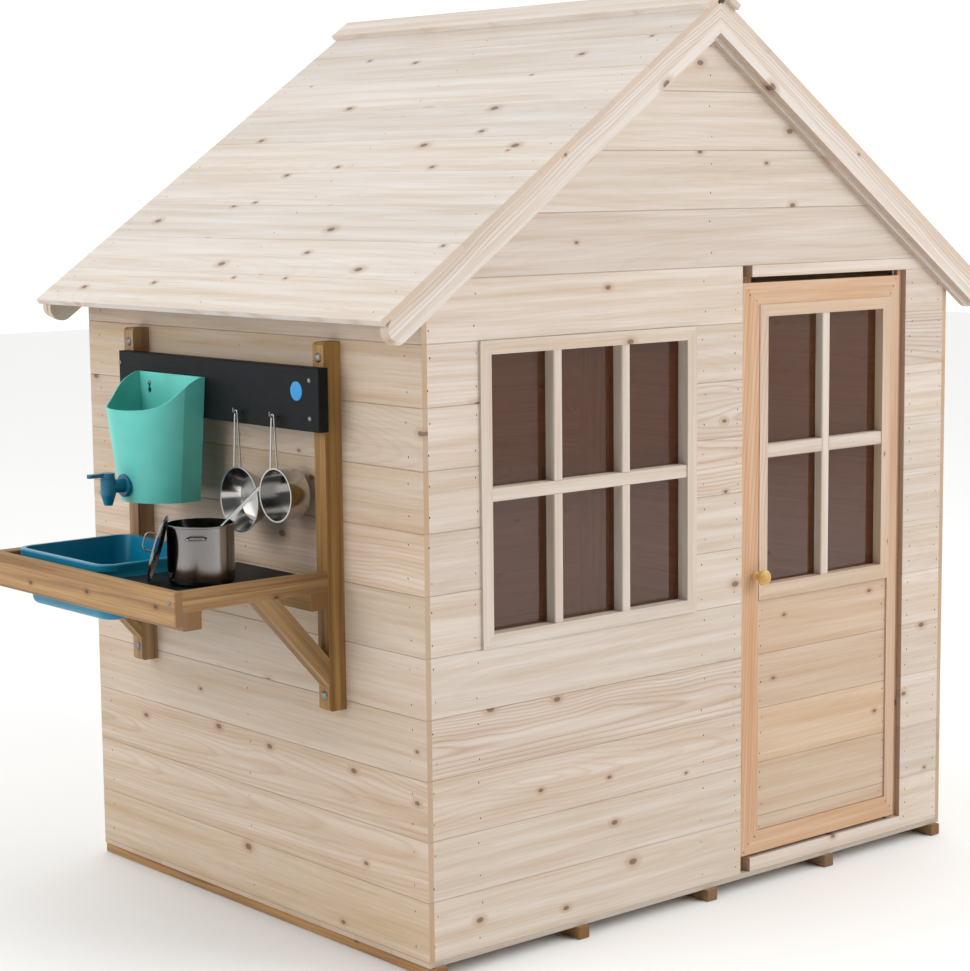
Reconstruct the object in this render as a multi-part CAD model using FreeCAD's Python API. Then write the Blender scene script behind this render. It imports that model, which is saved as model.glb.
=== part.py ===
import FreeCAD, Part
import math
import os
from FreeCAD import Vector

# Wooden playhouse with a mud kitchen bolted to its left side wall.
# Millimetres. X runs along the front from left to right, Y runs from the front
# to the back, Z is up. The origin is on the ground, at the middle of the plan.

# --- house ---
HOUSE_WIDTH = 1220.0
HOUSE_DEPTH = 938.0
COVER = 94.5            # width that one wall board shows
COURSES = 11            # boards in a wall, below the gable
BOARD = 10.0            # thickness of the boards
BOARD_EDGE = 1.0        # bevel on the long edges of a board
BATTEN_WIDTH = 34.0
BATTEN_THICK = 20.0
BATTEN_EDGE = 1.5

# --- base ---
BEARER_COUNT = 5
BEARER_WIDTH = 22.0
BEARER_HEIGHT = 20.0
BEARER_INSET = 18.0     # centre of the end bearers from the wall's outer face
BEARER_PROUD = 8.0      # how far a bearer runs past the walls
FLOOR_THICK = 8.0
FLOOR_COUNT = 10

# --- roof ---
ROOF_PITCH = 34.9
EAVES_DROP = 2.0        # roof's underside below the top of the wall, at its face
EAVES_OVERHANG = 92.0
VERGE_OVERHANG = 22.0
RIDGE_GAP = 5.0
BARGE_WIDTH = 39.0
BARGE_THICK = 12.0
TRIM_WIDTH = 48.0
RAFTER_DEPTH = 34.0
RIDGE_WIDTH = 40.0
RIDGE_PROUD = 8.0

# --- window ---
WINDOW_LEFT = 111.0     # from the left corner of the house
WINDOW_WIDTH = 464.0
WINDOW_FIRST_COURSE = 5
WINDOW_COURSES = 5
WINDOW_FRAME = 21.5
WINDOW_PROUD = 4.0
WINDOW_FRAME_DEPTH = 22.0
WINDOW_PANES = 3
MUNTIN = 18.0
MUNTIN_SET_BACK = 2.0
WINDOW_BAR = 21.0
SHEET = 2.0             # thickness of the clear sheets

# --- door ---
OPENING_WIDTH = 420.4
RIGHT_STRIP = 103.0     # boards between the opening and the right corner boards
DOOR_WIDTH = 402.0
DOOR_THICK = 18.0
DOOR_SET_BACK = 1.5
DOOR_SIDE_GAP = 1.4     # at the free edge
DOOR_UNDER_GAP = 6.0
DOOR_TOP_GAP = 10.0
THRESHOLD_HEIGHT = 24.0
LINTEL_HEIGHT = 19.5
LINTEL_NOTCH = 23.4     # left end of the lintel and threshold from the opening
STILE_LEFT = 42.0
STILE_RIGHT = 24.0
RAIL_TOP = 37.0
RAIL_BOTTOM = 38.0
LOWER_PANEL = 403.0     # height of the boarded panel
BEAD = 20.0
BEAD_BOTTOM = 26.0
BEAD_PROUD = 1.5
PANEL_SET_BACK = 3.0
DOOR_MUNTIN = 19.0
DOOR_BAR = 23.0
JAMB_WIDTH = 42.0
KNOB_X = 33.0           # from the door's free edge
KNOB_HEIGHT = 484.0     # above the door's lower edge
KNOB_DIAMETER = 27.0
KNOB_LENGTH = 30.0
PIVOT_INSET = 9.0       # pin's axis from the door's hinged edge
PIVOT_DIAMETER = 6.0
PIVOT_GRIP = 24.0       # length of pin in the door
PIVOT_SOCKET = 15.0     # length of pin in the threshold and lintel
PIN_CLEARANCE = 0.05

# --- mud kitchen: posts, back board and tray ---
POST_DEPTH = 32.0       # away from the wall
POST_WIDTH = 28.0
POST_LOW = 392.0
POST_HIGH = 969.0
POST_FRONT = -270.0     # front face of the front post
POST_SPACING = 543.0
POST_CHAMFER = 4.0
BACK_BOARD_LOW = 832.0
BACK_BOARD_HIGH = 931.0
BACK_BOARD_THICK = 18.0
BACK_BOARD_LAP = 10.0   # past the front post, and short of the back one
TRAY_REACH = 313.0      # outer face of the tray from the wall
TRAY_TOP = 612.0
TRAY_RAIL = 28.0        # height of the rails under the tray
TRAY_RAIL_WIDTH = 33.0
TRAY_SIDE = 29.0        # height of the side rails
TRAY_LIP_THICK = 14.0
TRAY_LIP_LOW = 563.0
TRAY_LIP_HIGH = 615.0
BRACE_WIDTH = 30.0
BRACE_FOOT = 433.0      # lower edge of the brace at the post
BRACE_TILT = 48.0       # from level
HOB_THICK = 18.0
HOB_DEPTH = 215.0
HOB_GAP = 0.5           # to the rails around it
BOLT_INSET = 24.0
BOLT_DIAMETER = 6.0
BOLT_HEAD = 15.0
SCREW_DIAMETER = 4.0
SCREW_HEAD = 8.0
SCREW_LENGTH = 24.0

# --- basin ---
BASIN_LENGTH = 281.0
BASIN_RIM_HIGH = 619.0
BASIN_LOW = 526.0
BASIN_WALL = 2.5
BASIN_RIM = 7.0         # width of the flat rim
BASIN_SKIRT = 11.0
BASIN_CORNER = 34.0
BASIN_TAPER = 9.0       # how far each side leans in, rim to base
BASIN_BASE_RADIUS = 12.0
GAP = 0.3               # between separate curved or loose pieces

# --- water dispenser and tap ---
TANK_WIDTH_TOP = 196.0
TANK_WIDTH_LOW = 152.0
TANK_DEPTH_TOP = 118.0
TANK_DEPTH_LOW = 92.0
TANK_LOW = 695.0
TANK_BACK_HIGH = 900.0
TANK_RIM_HIGH = 848.0
TANK_CENTRE = 127.0
TANK_WALL = 2.5
TANK_SIDE = 38.0        # straight part of a side, from the back
KEYHOLE_SPACING = 130.0
KEYHOLE_DROP = 18.0     # below the top edge
KEYHOLE_LIFT = 12.0
KEYHOLE_HEAD = 10.0
TANK_SCREW_HEAD = 8.4
TAP_HEIGHT = 28.0       # barrel axis above the tank's base
TAP_FLANGE = 38.0
TAP_FLANGE_THICK = 6.0
TAP_BARREL = 22.0
TAP_REACH = 33.0
TAP_VALVE = 25.0
TAP_VALVE_HIGH = 14.0   # above the barrel axis
TAP_SPOUT_LOW = 30.0    # below the barrel axis
TAP_SPOUT = 14.0
TAP_STEM = 11.0
LEVER_LENGTH = 38.0
LEVER_WIDTH = 11.0
LEVER_THICK = 6.0
LEVER_CAP = 9.0

# --- pot, lid, ladle and pans ---
STEEL = 1.5
POT_DIAMETER = 104.0
POT_HEIGHT = 93.0
POT_X = -185.0          # from the wall's outer face
POT_Y = -150.0
POT_RIM = 1.6
POT_BASE_RADIUS = 8.0
WIRE = 3.0
POT_LOOP_SPAN = 30.0
POT_LOOP_REACH = 15.0
POT_LOOP_DROP = 17.0
VIEW_SIDE = -40.5       # the pot's loops, lid and ladle are set out along this line
LID_LEAN = 16.0
LID_DISH = 5.0
LID_LOOP_SPAN = 28.0
LID_LOOP_REACH = 20.0
LADLE_BOWL = 17.0
LADLE_WIDTH = 7.0
LADLE_THICK = 5.0
LADLE_OFFSET = 24.0     # bowl's centre to the lid's side of the pot's axis
LADLE_FLOOR_GAP = 7.0
LADLE_RIM_GAP = 0.85    # of the handle's middle; the curved rim is nearer to its edges
LADLE_TURN = 28.0       # where the handle lies on the rim, seen from above
LADLE_OVERHANG = 68.0   # handle past the rim
HOOK_HEIGHT = 850.0
HOOK_WIRE = 3.2
HOOK_REACH = 14.0
HOOK_TIP = 8.0
HANDLE_RADIUS = 3.4     # bend of a pan's wire handle over its hook
HANDLE_SPREAD = 19.0
PAN_LIP = 1.2
FRYING_Y = -70.0
FRYING_DIAMETER = 104.0
FRYING_BASE = 76.0
FRYING_DEPTH = 30.0
FRYING_DROP = 140.0
SAUCEPAN_Y = -170.0
SAUCEPAN_DIAMETER = 84.0
SAUCEPAN_BASE = 80.0
SAUCEPAN_DEPTH = 38.0
SAUCEPAN_DROP = 124.0

X = Vector(1, 0, 0)
Y = Vector(0, 1, 0)
Z = Vector(0, 0, 1)

# --- sizes that follow from the driving ones ---
SIDE = HOUSE_WIDTH / 2
FRONT = -HOUSE_DEPTH / 2
BACK = HOUSE_DEPTH / 2
FLOOR_TOP = BEARER_HEIGHT + FLOOR_THICK
WALL_TOP = FLOOR_TOP + COURSES * COVER
INNER_SIDE = SIDE - BOARD
INNER_FRONT = FRONT + BOARD
SLOPE_COS = math.cos(math.radians(ROOF_PITCH))
SLOPE_SIN = math.sin(math.radians(ROOF_PITCH))
SLOPE_TAN = math.tan(math.radians(ROOF_PITCH))
UNDER_RIDGE = WALL_TOP - EAVES_DROP + SIDE * SLOPE_TAN
SLOPE_LENGTH = (SIDE + EAVES_OVERHANG - BOARD * SLOPE_SIN) / SLOPE_COS
VERGE = FRONT - VERGE_OVERHANG
TRIM_THICK = VERGE_OVERHANG - BARGE_THICK
HEADER_TOP = WALL_TOP + BATTEN_WIDTH

WINDOW_X0 = -SIDE + WINDOW_LEFT
WINDOW_X1 = WINDOW_X0 + WINDOW_WIDTH
WINDOW_Z0 = FLOOR_TOP + WINDOW_FIRST_COURSE * COVER
WINDOW_Z1 = WINDOW_Z0 + WINDOW_COURSES * COVER
WINDOW_SHEET_Y = FRONT - WINDOW_PROUD + WINDOW_FRAME_DEPTH

OPENING_X1 = INNER_SIDE - RIGHT_STRIP
OPENING_X0 = OPENING_X1 - OPENING_WIDTH
THRESHOLD_TOP = FLOOR_TOP + THRESHOLD_HEIGHT
LINTEL_LOW = WALL_TOP - LINTEL_HEIGHT
DOOR_X0 = OPENING_X0 + DOOR_SIDE_GAP
DOOR_X1 = DOOR_X0 + DOOR_WIDTH
DOOR_Z0 = THRESHOLD_TOP + DOOR_UNDER_GAP
DOOR_Z1 = LINTEL_LOW - DOOR_TOP_GAP
DOOR_FRONT = FRONT + DOOR_SET_BACK
DOOR_BACK = DOOR_FRONT + DOOR_THICK
STOP_FRONT = FRONT + BATTEN_THICK
GLAZED_X0 = DOOR_X0 + STILE_LEFT
GLAZED_X1 = DOOR_X1 - STILE_RIGHT
PANEL_Z0 = DOOR_Z0 + RAIL_BOTTOM
PANEL_Z1 = PANEL_Z0 + LOWER_PANEL
GLAZED_Z1 = DOOR_Z1 - RAIL_TOP
PIVOT_X = DOOR_X1 - PIVOT_INSET
PIVOT_Y = FRONT + BATTEN_THICK / 2

WALL_X = -SIDE
POST_FACE = WALL_X - POST_DEPTH
BOARD_FACE = POST_FACE - BACK_BOARD_THICK
POST_BACK = POST_FRONT + POST_SPACING
KITCHEN_END = POST_BACK + POST_WIDTH
TRAY_OUTER = WALL_X - TRAY_REACH
TRAY_INNER = TRAY_OUTER + TRAY_LIP_THICK
RAIL_TOP_Z = TRAY_TOP - TRAY_SIDE
FRONT_RAIL_IN = TRAY_INNER + TRAY_RAIL_WIDTH
REAR_RAIL_IN = POST_FACE - TRAY_RAIL_WIDTH
HOB_TOP = RAIL_TOP_Z + HOB_THICK
HOB_Y0 = POST_FRONT + POST_WIDTH + HOB_GAP
HOB_Y1 = HOB_Y0 + HOB_DEPTH
BASIN_X = (FRONT_RAIL_IN + REAR_RAIL_IN) / 2
BASIN_LEAN = 2 * BASIN_TAPER * (BASIN_RIM_HIGH - RAIL_TOP_Z) / (BASIN_RIM_HIGH - BASIN_LOW)
BASIN_MOUTH = REAR_RAIL_IN - FRONT_RAIL_IN - 2 * GAP + BASIN_LEAN
BASIN_WIDTH = BASIN_MOUTH + 2 * BASIN_RIM
BASIN_Y = KITCHEN_END - POST_WIDTH - GAP - BASIN_LENGTH / 2
TANK_BACK = BOARD_FACE - GAP
KEYHOLE_Z = TANK_BACK_HIGH - KEYHOLE_DROP
TAP_Z = TANK_LOW + TAP_HEIGHT
HOOK_X = BOARD_FACE - HOOK_REACH / 2 - HOOK_WIRE / 2
POT_CENTRE = Vector(WALL_X + POT_X, POT_Y, HOB_TOP)
ASIDE = Vector(math.cos(math.radians(VIEW_SIDE)), math.sin(math.radians(VIEW_SIDE)), 0)
AWAY = Vector(-ASIDE.y, ASIDE.x, 0)


def box(x0, x1, y0, y1, z0, z1):
    return Part.makeBox(x1 - x0, y1 - y0, z1 - z0, Vector(x0, y0, z0))


def prism(points, along):
    return Part.Face(Part.makePolygon(points + points[:1])).extrude(along)


def plank(corner, across, outward, along, width, thick, length, edge=BOARD_EDGE):
    """A board whose shown face has a bevel along both long edges."""
    far = corner + across * width
    shown = outward * thick
    shoulder = outward * (thick - edge)
    points = [corner, far, far + shoulder, far + shown - across * edge,
              corner + shown + across * edge, corner + shoulder]
    return prism(points, along * length)


def rod(start, end, radius):
    return Part.makeCylinder(radius, (end - start).Length, start, end - start)


def revolved(points, base, axis=Z, out=X):
    """A turned piece: points are (distance along the axis, radius)."""
    outline = [base + axis * a + out * r for a, r in points]
    face = Part.Face(Part.makePolygon(outline + outline[:1]))
    return face.revolve(base, axis, 360)


def bent_wire(corners, bends, diameter):
    """A round wire through the corners, with an arc at each inner one."""
    edges = []
    start = corners[0]
    for before, corner, after, bend in zip(corners, corners[1:], corners[2:], bends):
        back = (before - corner).normalize()
        ahead = (after - corner).normalize()
        half = back.getAngle(ahead) / 2
        reach = bend / math.tan(half)
        centre = corner + (back + ahead).normalize() * (bend / math.sin(half))
        middle = centre + (corner - centre).normalize() * bend
        edges.append(Part.makeLine(start, corner + back * reach))
        edges.append(Part.Arc(corner + back * reach, middle, corner + ahead * reach).toShape())
        start = corner + ahead * reach
    edges.append(Part.makeLine(start, corners[-1]))
    ring = Part.Wire(Part.makeCircle(diameter / 2, corners[0], corners[1] - corners[0]))
    return Part.Wire(edges).makePipeShell([ring], True, True)


def mitred_frame(x0, x1, z0, z1, widths, y0, y1):
    """Four pieces that meet at mitred corners; widths are left, right, low, top."""
    left, right, low, top = widths
    outer = [(x0, z0), (x1, z0), (x1, z1), (x0, z1)]
    inner = [(x0 + left, z0 + low), (x1 - right, z0 + low),
             (x1 - right, z1 - top), (x0 + left, z1 - top)]
    pieces = []
    for i in range(4):
        j = (i + 1) % 4
        corners = [Vector(x, y0, z) for x, z in (outer[i], outer[j], inner[j], inner[i])]
        pieces.append(prism(corners, Y * (y1 - y0)))
    return pieces


def front_boards(x0, x1, z0, z1, face, outward=-1):
    """Level boards of a wall that faces the front (-1) or the back (1)."""
    pieces = []
    count = max(1, round((z1 - z0) / COVER))
    step = (z1 - z0) / count
    for i in range(count):
        corner = Vector(x0, face - outward * BOARD, z0 + i * step)
        pieces.append(plank(corner, Z, Y * outward, X, step, BOARD, x1 - x0))
    return pieces


def side_boards(outward):
    pieces = []
    for i in range(COURSES):
        corner = Vector(outward * INNER_SIDE, FRONT, FLOOR_TOP + i * COVER)
        pieces.append(plank(corner, Z, X * outward, Y, COVER, BOARD, HOUSE_DEPTH))
    return under_roof(pieces)


def under_roof(pieces, lower=0.0):
    """The pieces cut to the roof's underside, or to a line that much below it."""
    top = UNDER_RIDGE - lower / SLOPE_COS
    reach = SIDE + EAVES_OVERHANG
    outline = [Vector(0, 2 * FRONT, top), Vector(reach, 2 * FRONT, top - reach * SLOPE_TAN),
               Vector(reach, 2 * FRONT, -FLOOR_TOP), Vector(-reach, 2 * FRONT, -FLOOR_TOP),
               Vector(-reach, 2 * FRONT, top - reach * SLOPE_TAN)]
    envelope = prism(outline, Y * (4 * BACK))
    return [piece.common(envelope).Solids[0] for piece in pieces]


def down_slope(side):
    return Vector(side * SLOPE_COS, 0, -SLOPE_SIN)


def off_slope(side):
    return Vector(side * SLOPE_SIN, 0, SLOPE_COS)


# --- base ---
def floor_bearer(index):
    span = HOUSE_WIDTH - 2 * BEARER_INSET
    centre = -span / 2 + index * span / (BEARER_COUNT - 1)
    corner = Vector(centre - BEARER_WIDTH / 2, FRONT - BEARER_PROUD, 0)
    body = Part.makeBox(BEARER_WIDTH, HOUSE_DEPTH + 2 * BEARER_PROUD, BEARER_HEIGHT, corner)
    long_edges = [e for e in body.Edges if e.Length > HOUSE_DEPTH]
    return [body.makeChamfer(BATTEN_EDGE, long_edges)]


def floor_boards():
    step = HOUSE_DEPTH / FLOOR_COUNT
    return [plank(Vector(-SIDE, FRONT + i * step, BEARER_HEIGHT), Y, Z, X, step, FLOOR_THICK,
                  HOUSE_WIDTH) for i in range(FLOOR_COUNT)]


# --- walls ---
def gable_boards(face, outward):
    pieces = []
    low = WALL_TOP
    while low < UNDER_RIDGE - COVER / 2:
        corner = Vector(-INNER_SIDE, face - outward * BOARD, low)
        pieces.append(plank(corner, Z, Y * outward, X, COVER, BOARD, 2 * INNER_SIDE))
        low += COVER
    return under_roof(pieces)


def upright(x0, width, y0, z0, z1):
    return box(x0, x0 + width, y0, y0 + BATTEN_THICK, z0, z1)


def front_battens():
    w = BATTEN_WIDTH
    right_jamb_x = DOOR_X1 + (OPENING_X1 - DOOR_X1) * 0.3
    pieces = [
        upright(-INNER_SIDE, w, INNER_FRONT, FLOOR_TOP, WALL_TOP),
        upright(WINDOW_X0 - w, w, INNER_FRONT, FLOOR_TOP, WALL_TOP),
        upright(WINDOW_X1, w, INNER_FRONT, FLOOR_TOP, WALL_TOP),
        upright(OPENING_X0 - w, w, INNER_FRONT, FLOOR_TOP, WALL_TOP),
        upright(OPENING_X0, JAMB_WIDTH, STOP_FRONT, FLOOR_TOP, WALL_TOP),
        upright(right_jamb_x, w, INNER_FRONT, THRESHOLD_TOP, LINTEL_LOW),
        upright(INNER_SIDE - w, w, INNER_FRONT, FLOOR_TOP, LINTEL_LOW),
        box(WINDOW_X0, WINDOW_X1, INNER_FRONT, INNER_FRONT + BATTEN_THICK, WINDOW_Z0 - w, WINDOW_Z0),
        box(WINDOW_X0, WINDOW_X1, INNER_FRONT, INNER_FRONT + BATTEN_THICK, WINDOW_Z1, WINDOW_Z1 + w),
    ]
    return under_roof(pieces) + gable_battens(INNER_FRONT)


def gable_battens(y0):
    """The header and the middle upright behind a gable's boards."""
    w = BATTEN_WIDTH
    header = box(w - INNER_SIDE, INNER_SIDE - w, y0, y0 + BATTEN_THICK, WALL_TOP, HEADER_TOP)
    middle = upright(-w / 2, w, y0, HEADER_TOP, UNDER_RIDGE)
    return under_roof([header]) + under_roof([middle], RAFTER_DEPTH)


def back_battens():
    w = BATTEN_WIDTH
    y0 = BACK - BOARD - BATTEN_THICK
    places = [-INNER_SIDE, -INNER_SIDE / 3 - w / 2, INNER_SIDE / 3 - w / 2, INNER_SIDE - w]
    pieces = [upright(x0, w, y0, FLOOR_TOP, WALL_TOP) for x0 in places]
    return under_roof(pieces) + gable_battens(y0)


def side_battens():
    """Uprights inside the side walls; the left wall also has one behind each kitchen post."""
    w = BATTEN_WIDTH
    ends = [INNER_FRONT + BATTEN_THICK, -INNER_FRONT - BATTEN_THICK - w]
    behind_posts = [y + (POST_WIDTH - w) / 2 for y in (POST_FRONT, POST_BACK)]
    top = WALL_TOP - BATTEN_WIDTH - EAVES_DROP
    pieces = []
    for y0 in ends + [-w / 2] + behind_posts:
        pieces.append(box(-INNER_SIDE, -INNER_SIDE + BATTEN_THICK, y0, y0 + w, FLOOR_TOP, top))
    for y0 in ends + [-w / 2]:
        pieces.append(box(INNER_SIDE - BATTEN_THICK, INNER_SIDE, y0, y0 + w, FLOOR_TOP, top))
    return pieces


def eaves_battens():
    low = WALL_TOP - BATTEN_WIDTH - EAVES_DROP
    y0 = INNER_FRONT + BATTEN_THICK
    left = box(-INNER_SIDE, -INNER_SIDE + BATTEN_THICK, y0, -y0, low, UNDER_RIDGE)
    right = box(INNER_SIDE - BATTEN_THICK, INNER_SIDE, y0, -y0, low, UNDER_RIDGE)
    return under_roof([left, right])


# --- roof ---
def roof_boards(side):
    count = round((SLOPE_LENGTH - RIDGE_GAP) / COVER)
    step = (SLOPE_LENGTH - RIDGE_GAP) / count
    ridge = Vector(0, VERGE, UNDER_RIDGE)
    down = down_slope(side)
    return [plank(ridge + down * (RIDGE_GAP + i * step), down, off_slope(side), Y, step, BOARD,
                  -2 * VERGE) for i in range(count)]


def sloping_board(side, y0, thick, width):
    """A board on edge under the roof boards, mitred at the ridge and round at its foot."""
    ridge = Vector(0, y0, UNDER_RIDGE)
    down = down_slope(side)
    inward = off_slope(side) * -1
    radius = width / 2
    shoulder = ridge + down * (SLOPE_LENGTH - radius)
    tip = shoulder + down * radius + inward * radius
    heel = shoulder + inward * width
    mitre = ridge - Z * (width / SLOPE_COS)
    outline = Part.Wire([Part.makeLine(ridge, shoulder), Part.Arc(shoulder, tip, heel).toShape(),
                         Part.makeLine(heel, mitre), Part.makeLine(mitre, ridge)])
    return Part.Face(outline).extrude(Y * thick)


def barge_boards(front):
    """Barge boards of one gable, each with the trim that it is nailed to."""
    pieces = []
    for side in (-1, 1):
        barge_y = VERGE if front else -VERGE - BARGE_THICK
        trim_y = VERGE + BARGE_THICK if front else BACK
        pieces.append(sloping_board(side, barge_y, BARGE_THICK, BARGE_WIDTH))
        pieces.append(sloping_board(side, trim_y, TRIM_THICK, TRIM_WIDTH))
    return pieces


def rafters():
    """A pair inside each gable, and one at mid depth between the eaves battens."""
    pieces = []
    inner = INNER_SIDE - BATTEN_THICK
    for side in (-1, 1):
        for y0, low in ((INNER_FRONT, HEADER_TOP), (-BATTEN_THICK / 2, 0.0),
                        (-INNER_FRONT - BATTEN_THICK, HEADER_TOP)):
            ridge = Vector(0, y0, UNDER_RIDGE)
            inward = Z * (-RAFTER_DEPTH / SLOPE_COS)
            foot = ridge + down_slope(side) * (inner / SLOPE_COS)
            band = prism([ridge, foot, foot + inward, ridge + inward], Y * BATTEN_THICK)
            above = box(-SIDE, SIDE, y0, y0 + BATTEN_THICK, low, UNDER_RIDGE)
            pieces.append(band.common(above).Solids[0])
    return pieces


def ridge_cap():
    top = Vector(0, VERGE - RIDGE_PROUD, UNDER_RIDGE + BOARD / SLOPE_COS)
    pieces = []
    for side in (-1, 1):
        foot = top + down_slope(side) * RIDGE_WIDTH
        points = [top, foot, foot + off_slope(side) * BOARD, top + Z * (BOARD / SLOPE_COS)]
        pieces.append(prism(points, Y * (-2 * VERGE + 2 * RIDGE_PROUD)))
    return pieces


# --- window ---
def window_frame():
    widths = [WINDOW_FRAME] * 4
    return mitred_frame(WINDOW_X0, WINDOW_X1, WINDOW_Z0, WINDOW_Z1, widths,
                        FRONT - WINDOW_PROUD, WINDOW_SHEET_Y)


def window_muntins():
    """One bar right across in the middle, and short uprights above and below it."""
    x0, x1 = WINDOW_X0 + WINDOW_FRAME, WINDOW_X1 - WINDOW_FRAME
    z0, z1 = WINDOW_Z0 + WINDOW_FRAME, WINDOW_Z1 - WINDOW_FRAME
    depth = WINDOW_FRAME_DEPTH - MUNTIN_SET_BACK
    bar_low = (z0 + z1 - WINDOW_BAR) / 2
    pane = (x1 - x0 - (WINDOW_PANES - 1) * MUNTIN) / WINDOW_PANES
    pieces = [plank(Vector(x0, WINDOW_SHEET_Y, bar_low), Z, -Y, X, WINDOW_BAR, depth, x1 - x0,
                    BATTEN_EDGE)]
    for i in range(1, WINDOW_PANES):
        left = x0 + i * pane + (i - 1) * MUNTIN
        for low, high in ((z0, bar_low), (bar_low + WINDOW_BAR, z1)):
            pieces.append(plank(Vector(left, WINDOW_SHEET_Y, low), X, -Y, Z, MUNTIN, depth,
                                high - low, BATTEN_EDGE))
    return pieces


def window_glazing():
    return [box(WINDOW_X0, WINDOW_X1, WINDOW_SHEET_Y, WINDOW_SHEET_Y + SHEET, WINDOW_Z0, WINDOW_Z1)]


# --- door ---
def door_lintel():
    x0 = OPENING_X0 + LINTEL_NOTCH
    lintel = box(x0, INNER_SIDE, FRONT, STOP_FRONT, LINTEL_LOW, WALL_TOP)
    return under_roof([lintel.cut(pivot_bore(0.0))])


def door_threshold():
    x0 = OPENING_X0 + LINTEL_NOTCH
    return [box(x0, OPENING_X1, FRONT, STOP_FRONT, FLOOR_TOP, THRESHOLD_TOP).cut(pivot_bore(0.0))]


def pivot_bore(clearance):
    """The two pin spaces, each from its socket in the house to its end in the door."""
    radius = PIVOT_DIAMETER / 2 + clearance
    low = rod(Vector(PIVOT_X, PIVOT_Y, THRESHOLD_TOP - PIVOT_SOCKET),
              Vector(PIVOT_X, PIVOT_Y, DOOR_Z0 + PIVOT_GRIP + clearance), radius)
    high = rod(Vector(PIVOT_X, PIVOT_Y, DOOR_Z1 - PIVOT_GRIP - clearance),
               Vector(PIVOT_X, PIVOT_Y, LINTEL_LOW + PIVOT_SOCKET), radius)
    return low.fuse(high)


def door_pivot_pins():
    """Upper and lower pins; the lower one has the washer that the door turns on."""
    low, high = pivot_bore(0.0).Solids
    washer = rod(Vector(PIVOT_X, PIVOT_Y, THRESHOLD_TOP),
                 Vector(PIVOT_X, PIVOT_Y, DOOR_Z0 - PIN_CLEARANCE), PIVOT_DIAMETER)
    return [low.fuse(washer).removeSplitter(), high]


def door_frame():
    widths = (STILE_LEFT, STILE_RIGHT, RAIL_BOTTOM, RAIL_TOP)
    pieces = mitred_frame(DOOR_X0, DOOR_X1, DOOR_Z0, DOOR_Z1, widths, DOOR_FRONT, DOOR_BACK)
    bore = pivot_bore(PIN_CLEARANCE)
    return [piece.cut(bore) for piece in pieces]


def door_boards():
    face = DOOR_FRONT + PANEL_SET_BACK
    pieces = []
    high = PANEL_Z1
    while high > PANEL_Z0:
        low = max(PANEL_Z0, high - COVER)
        pieces.append(plank(Vector(GLAZED_X0, face + BOARD, low), Z, -Y, X, high - low, BOARD,
                            GLAZED_X1 - GLAZED_X0))
        high = low
    return pieces


def door_glazing_bead():
    return mitred_frame(GLAZED_X0, GLAZED_X1, PANEL_Z1, GLAZED_Z1, (BEAD, BEAD, BEAD_BOTTOM, BEAD),
                        DOOR_FRONT - BEAD_PROUD, DOOR_BACK - SHEET)


def door_muntins():
    """An upright right through, and a short bar on each side of it."""
    x0, x1 = GLAZED_X0 + BEAD, GLAZED_X1 - BEAD
    z0, z1 = PANEL_Z1 + BEAD_BOTTOM, GLAZED_Z1 - BEAD
    back = DOOR_BACK - SHEET
    depth = back - DOOR_FRONT
    left = (x0 + x1 - DOOR_MUNTIN) / 2
    low = (z0 + z1 - DOOR_BAR) / 2
    pieces = [plank(Vector(left, back, z0), X, -Y, Z, DOOR_MUNTIN, depth, z1 - z0, BATTEN_EDGE)]
    for start, end in ((x0, left), (left + DOOR_MUNTIN, x1)):
        pieces.append(plank(Vector(start, back, low), Z, -Y, X, DOOR_BAR, depth, end - start,
                            BATTEN_EDGE))
    return pieces


def door_glazing():
    return [box(GLAZED_X0, GLAZED_X1, DOOR_BACK - SHEET, DOOR_BACK, PANEL_Z1, GLAZED_Z1)]


def door_knob():
    r = KNOB_DIAMETER / 2
    length = KNOB_LENGTH
    outline = [(0, 0), (0, 0.62 * r), (0.12 * length, 0.62 * r), (0.3 * length, 0.45 * r),
               (0.48 * length, 0.72 * r), (0.62 * length, r), (0.8 * length, r),
               (0.94 * length, 0.7 * r), (length, 0.3 * r), (length, 0)]
    base = Vector(DOOR_X0 + KNOB_X, DOOR_FRONT, DOOR_Z0 + KNOB_HEIGHT)
    return [revolved(outline, base, -Y, X)]


# --- mud kitchen frame ---
def kitchen_post(y0):
    z0, z1, c = POST_LOW, POST_HIGH, POST_CHAMFER
    outline = [Vector(WALL_X, y0, z0), Vector(WALL_X, y0, z1), Vector(POST_FACE + c, y0, z1),
               Vector(POST_FACE, y0, z1 - c), Vector(POST_FACE, y0, z0 + c),
               Vector(POST_FACE + c, y0, z0)]
    return prism(outline, Y * POST_WIDTH)


def with_bores(pieces, bores):
    """The pieces with every bore cut out of them."""
    return [piece.cut(Part.makeCompound(bores)) for piece in pieces]


def bolt_places():
    return [(y0 + POST_WIDTH / 2, z) for y0 in (POST_FRONT, POST_BACK)
            for z in (POST_LOW + BOLT_INSET, POST_HIGH - BOLT_INSET)]


def bolt_shanks():
    inside = BATTEN_THICK - INNER_SIDE + BOLT_DIAMETER
    return [rod(Vector(POST_FACE, y, z), Vector(inside, y, z), BOLT_DIAMETER / 2)
            for y, z in bolt_places()]


def coach_bolts():
    """Each bolt has a domed head outside and a nut on the batten inside."""
    inside = BATTEN_THICK - INNER_SIDE
    r = BOLT_HEAD / 2
    pieces = []
    for (y, z), shank in zip(bolt_places(), bolt_shanks()):
        head = revolved([(0, 0), (0, r), (1.0, 0.96 * r), (2.6, 0.7 * r), (3.6, 0.3 * r), (3.8, 0)],
                        Vector(POST_FACE, y, z), -X, Y)
        nut = rod(Vector(inside, y, z), Vector(inside + BOLT_DIAMETER, y, z), BOLT_DIAMETER)
        pieces.append(shank.fuse([head, nut]).removeSplitter())
    return pieces


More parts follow.
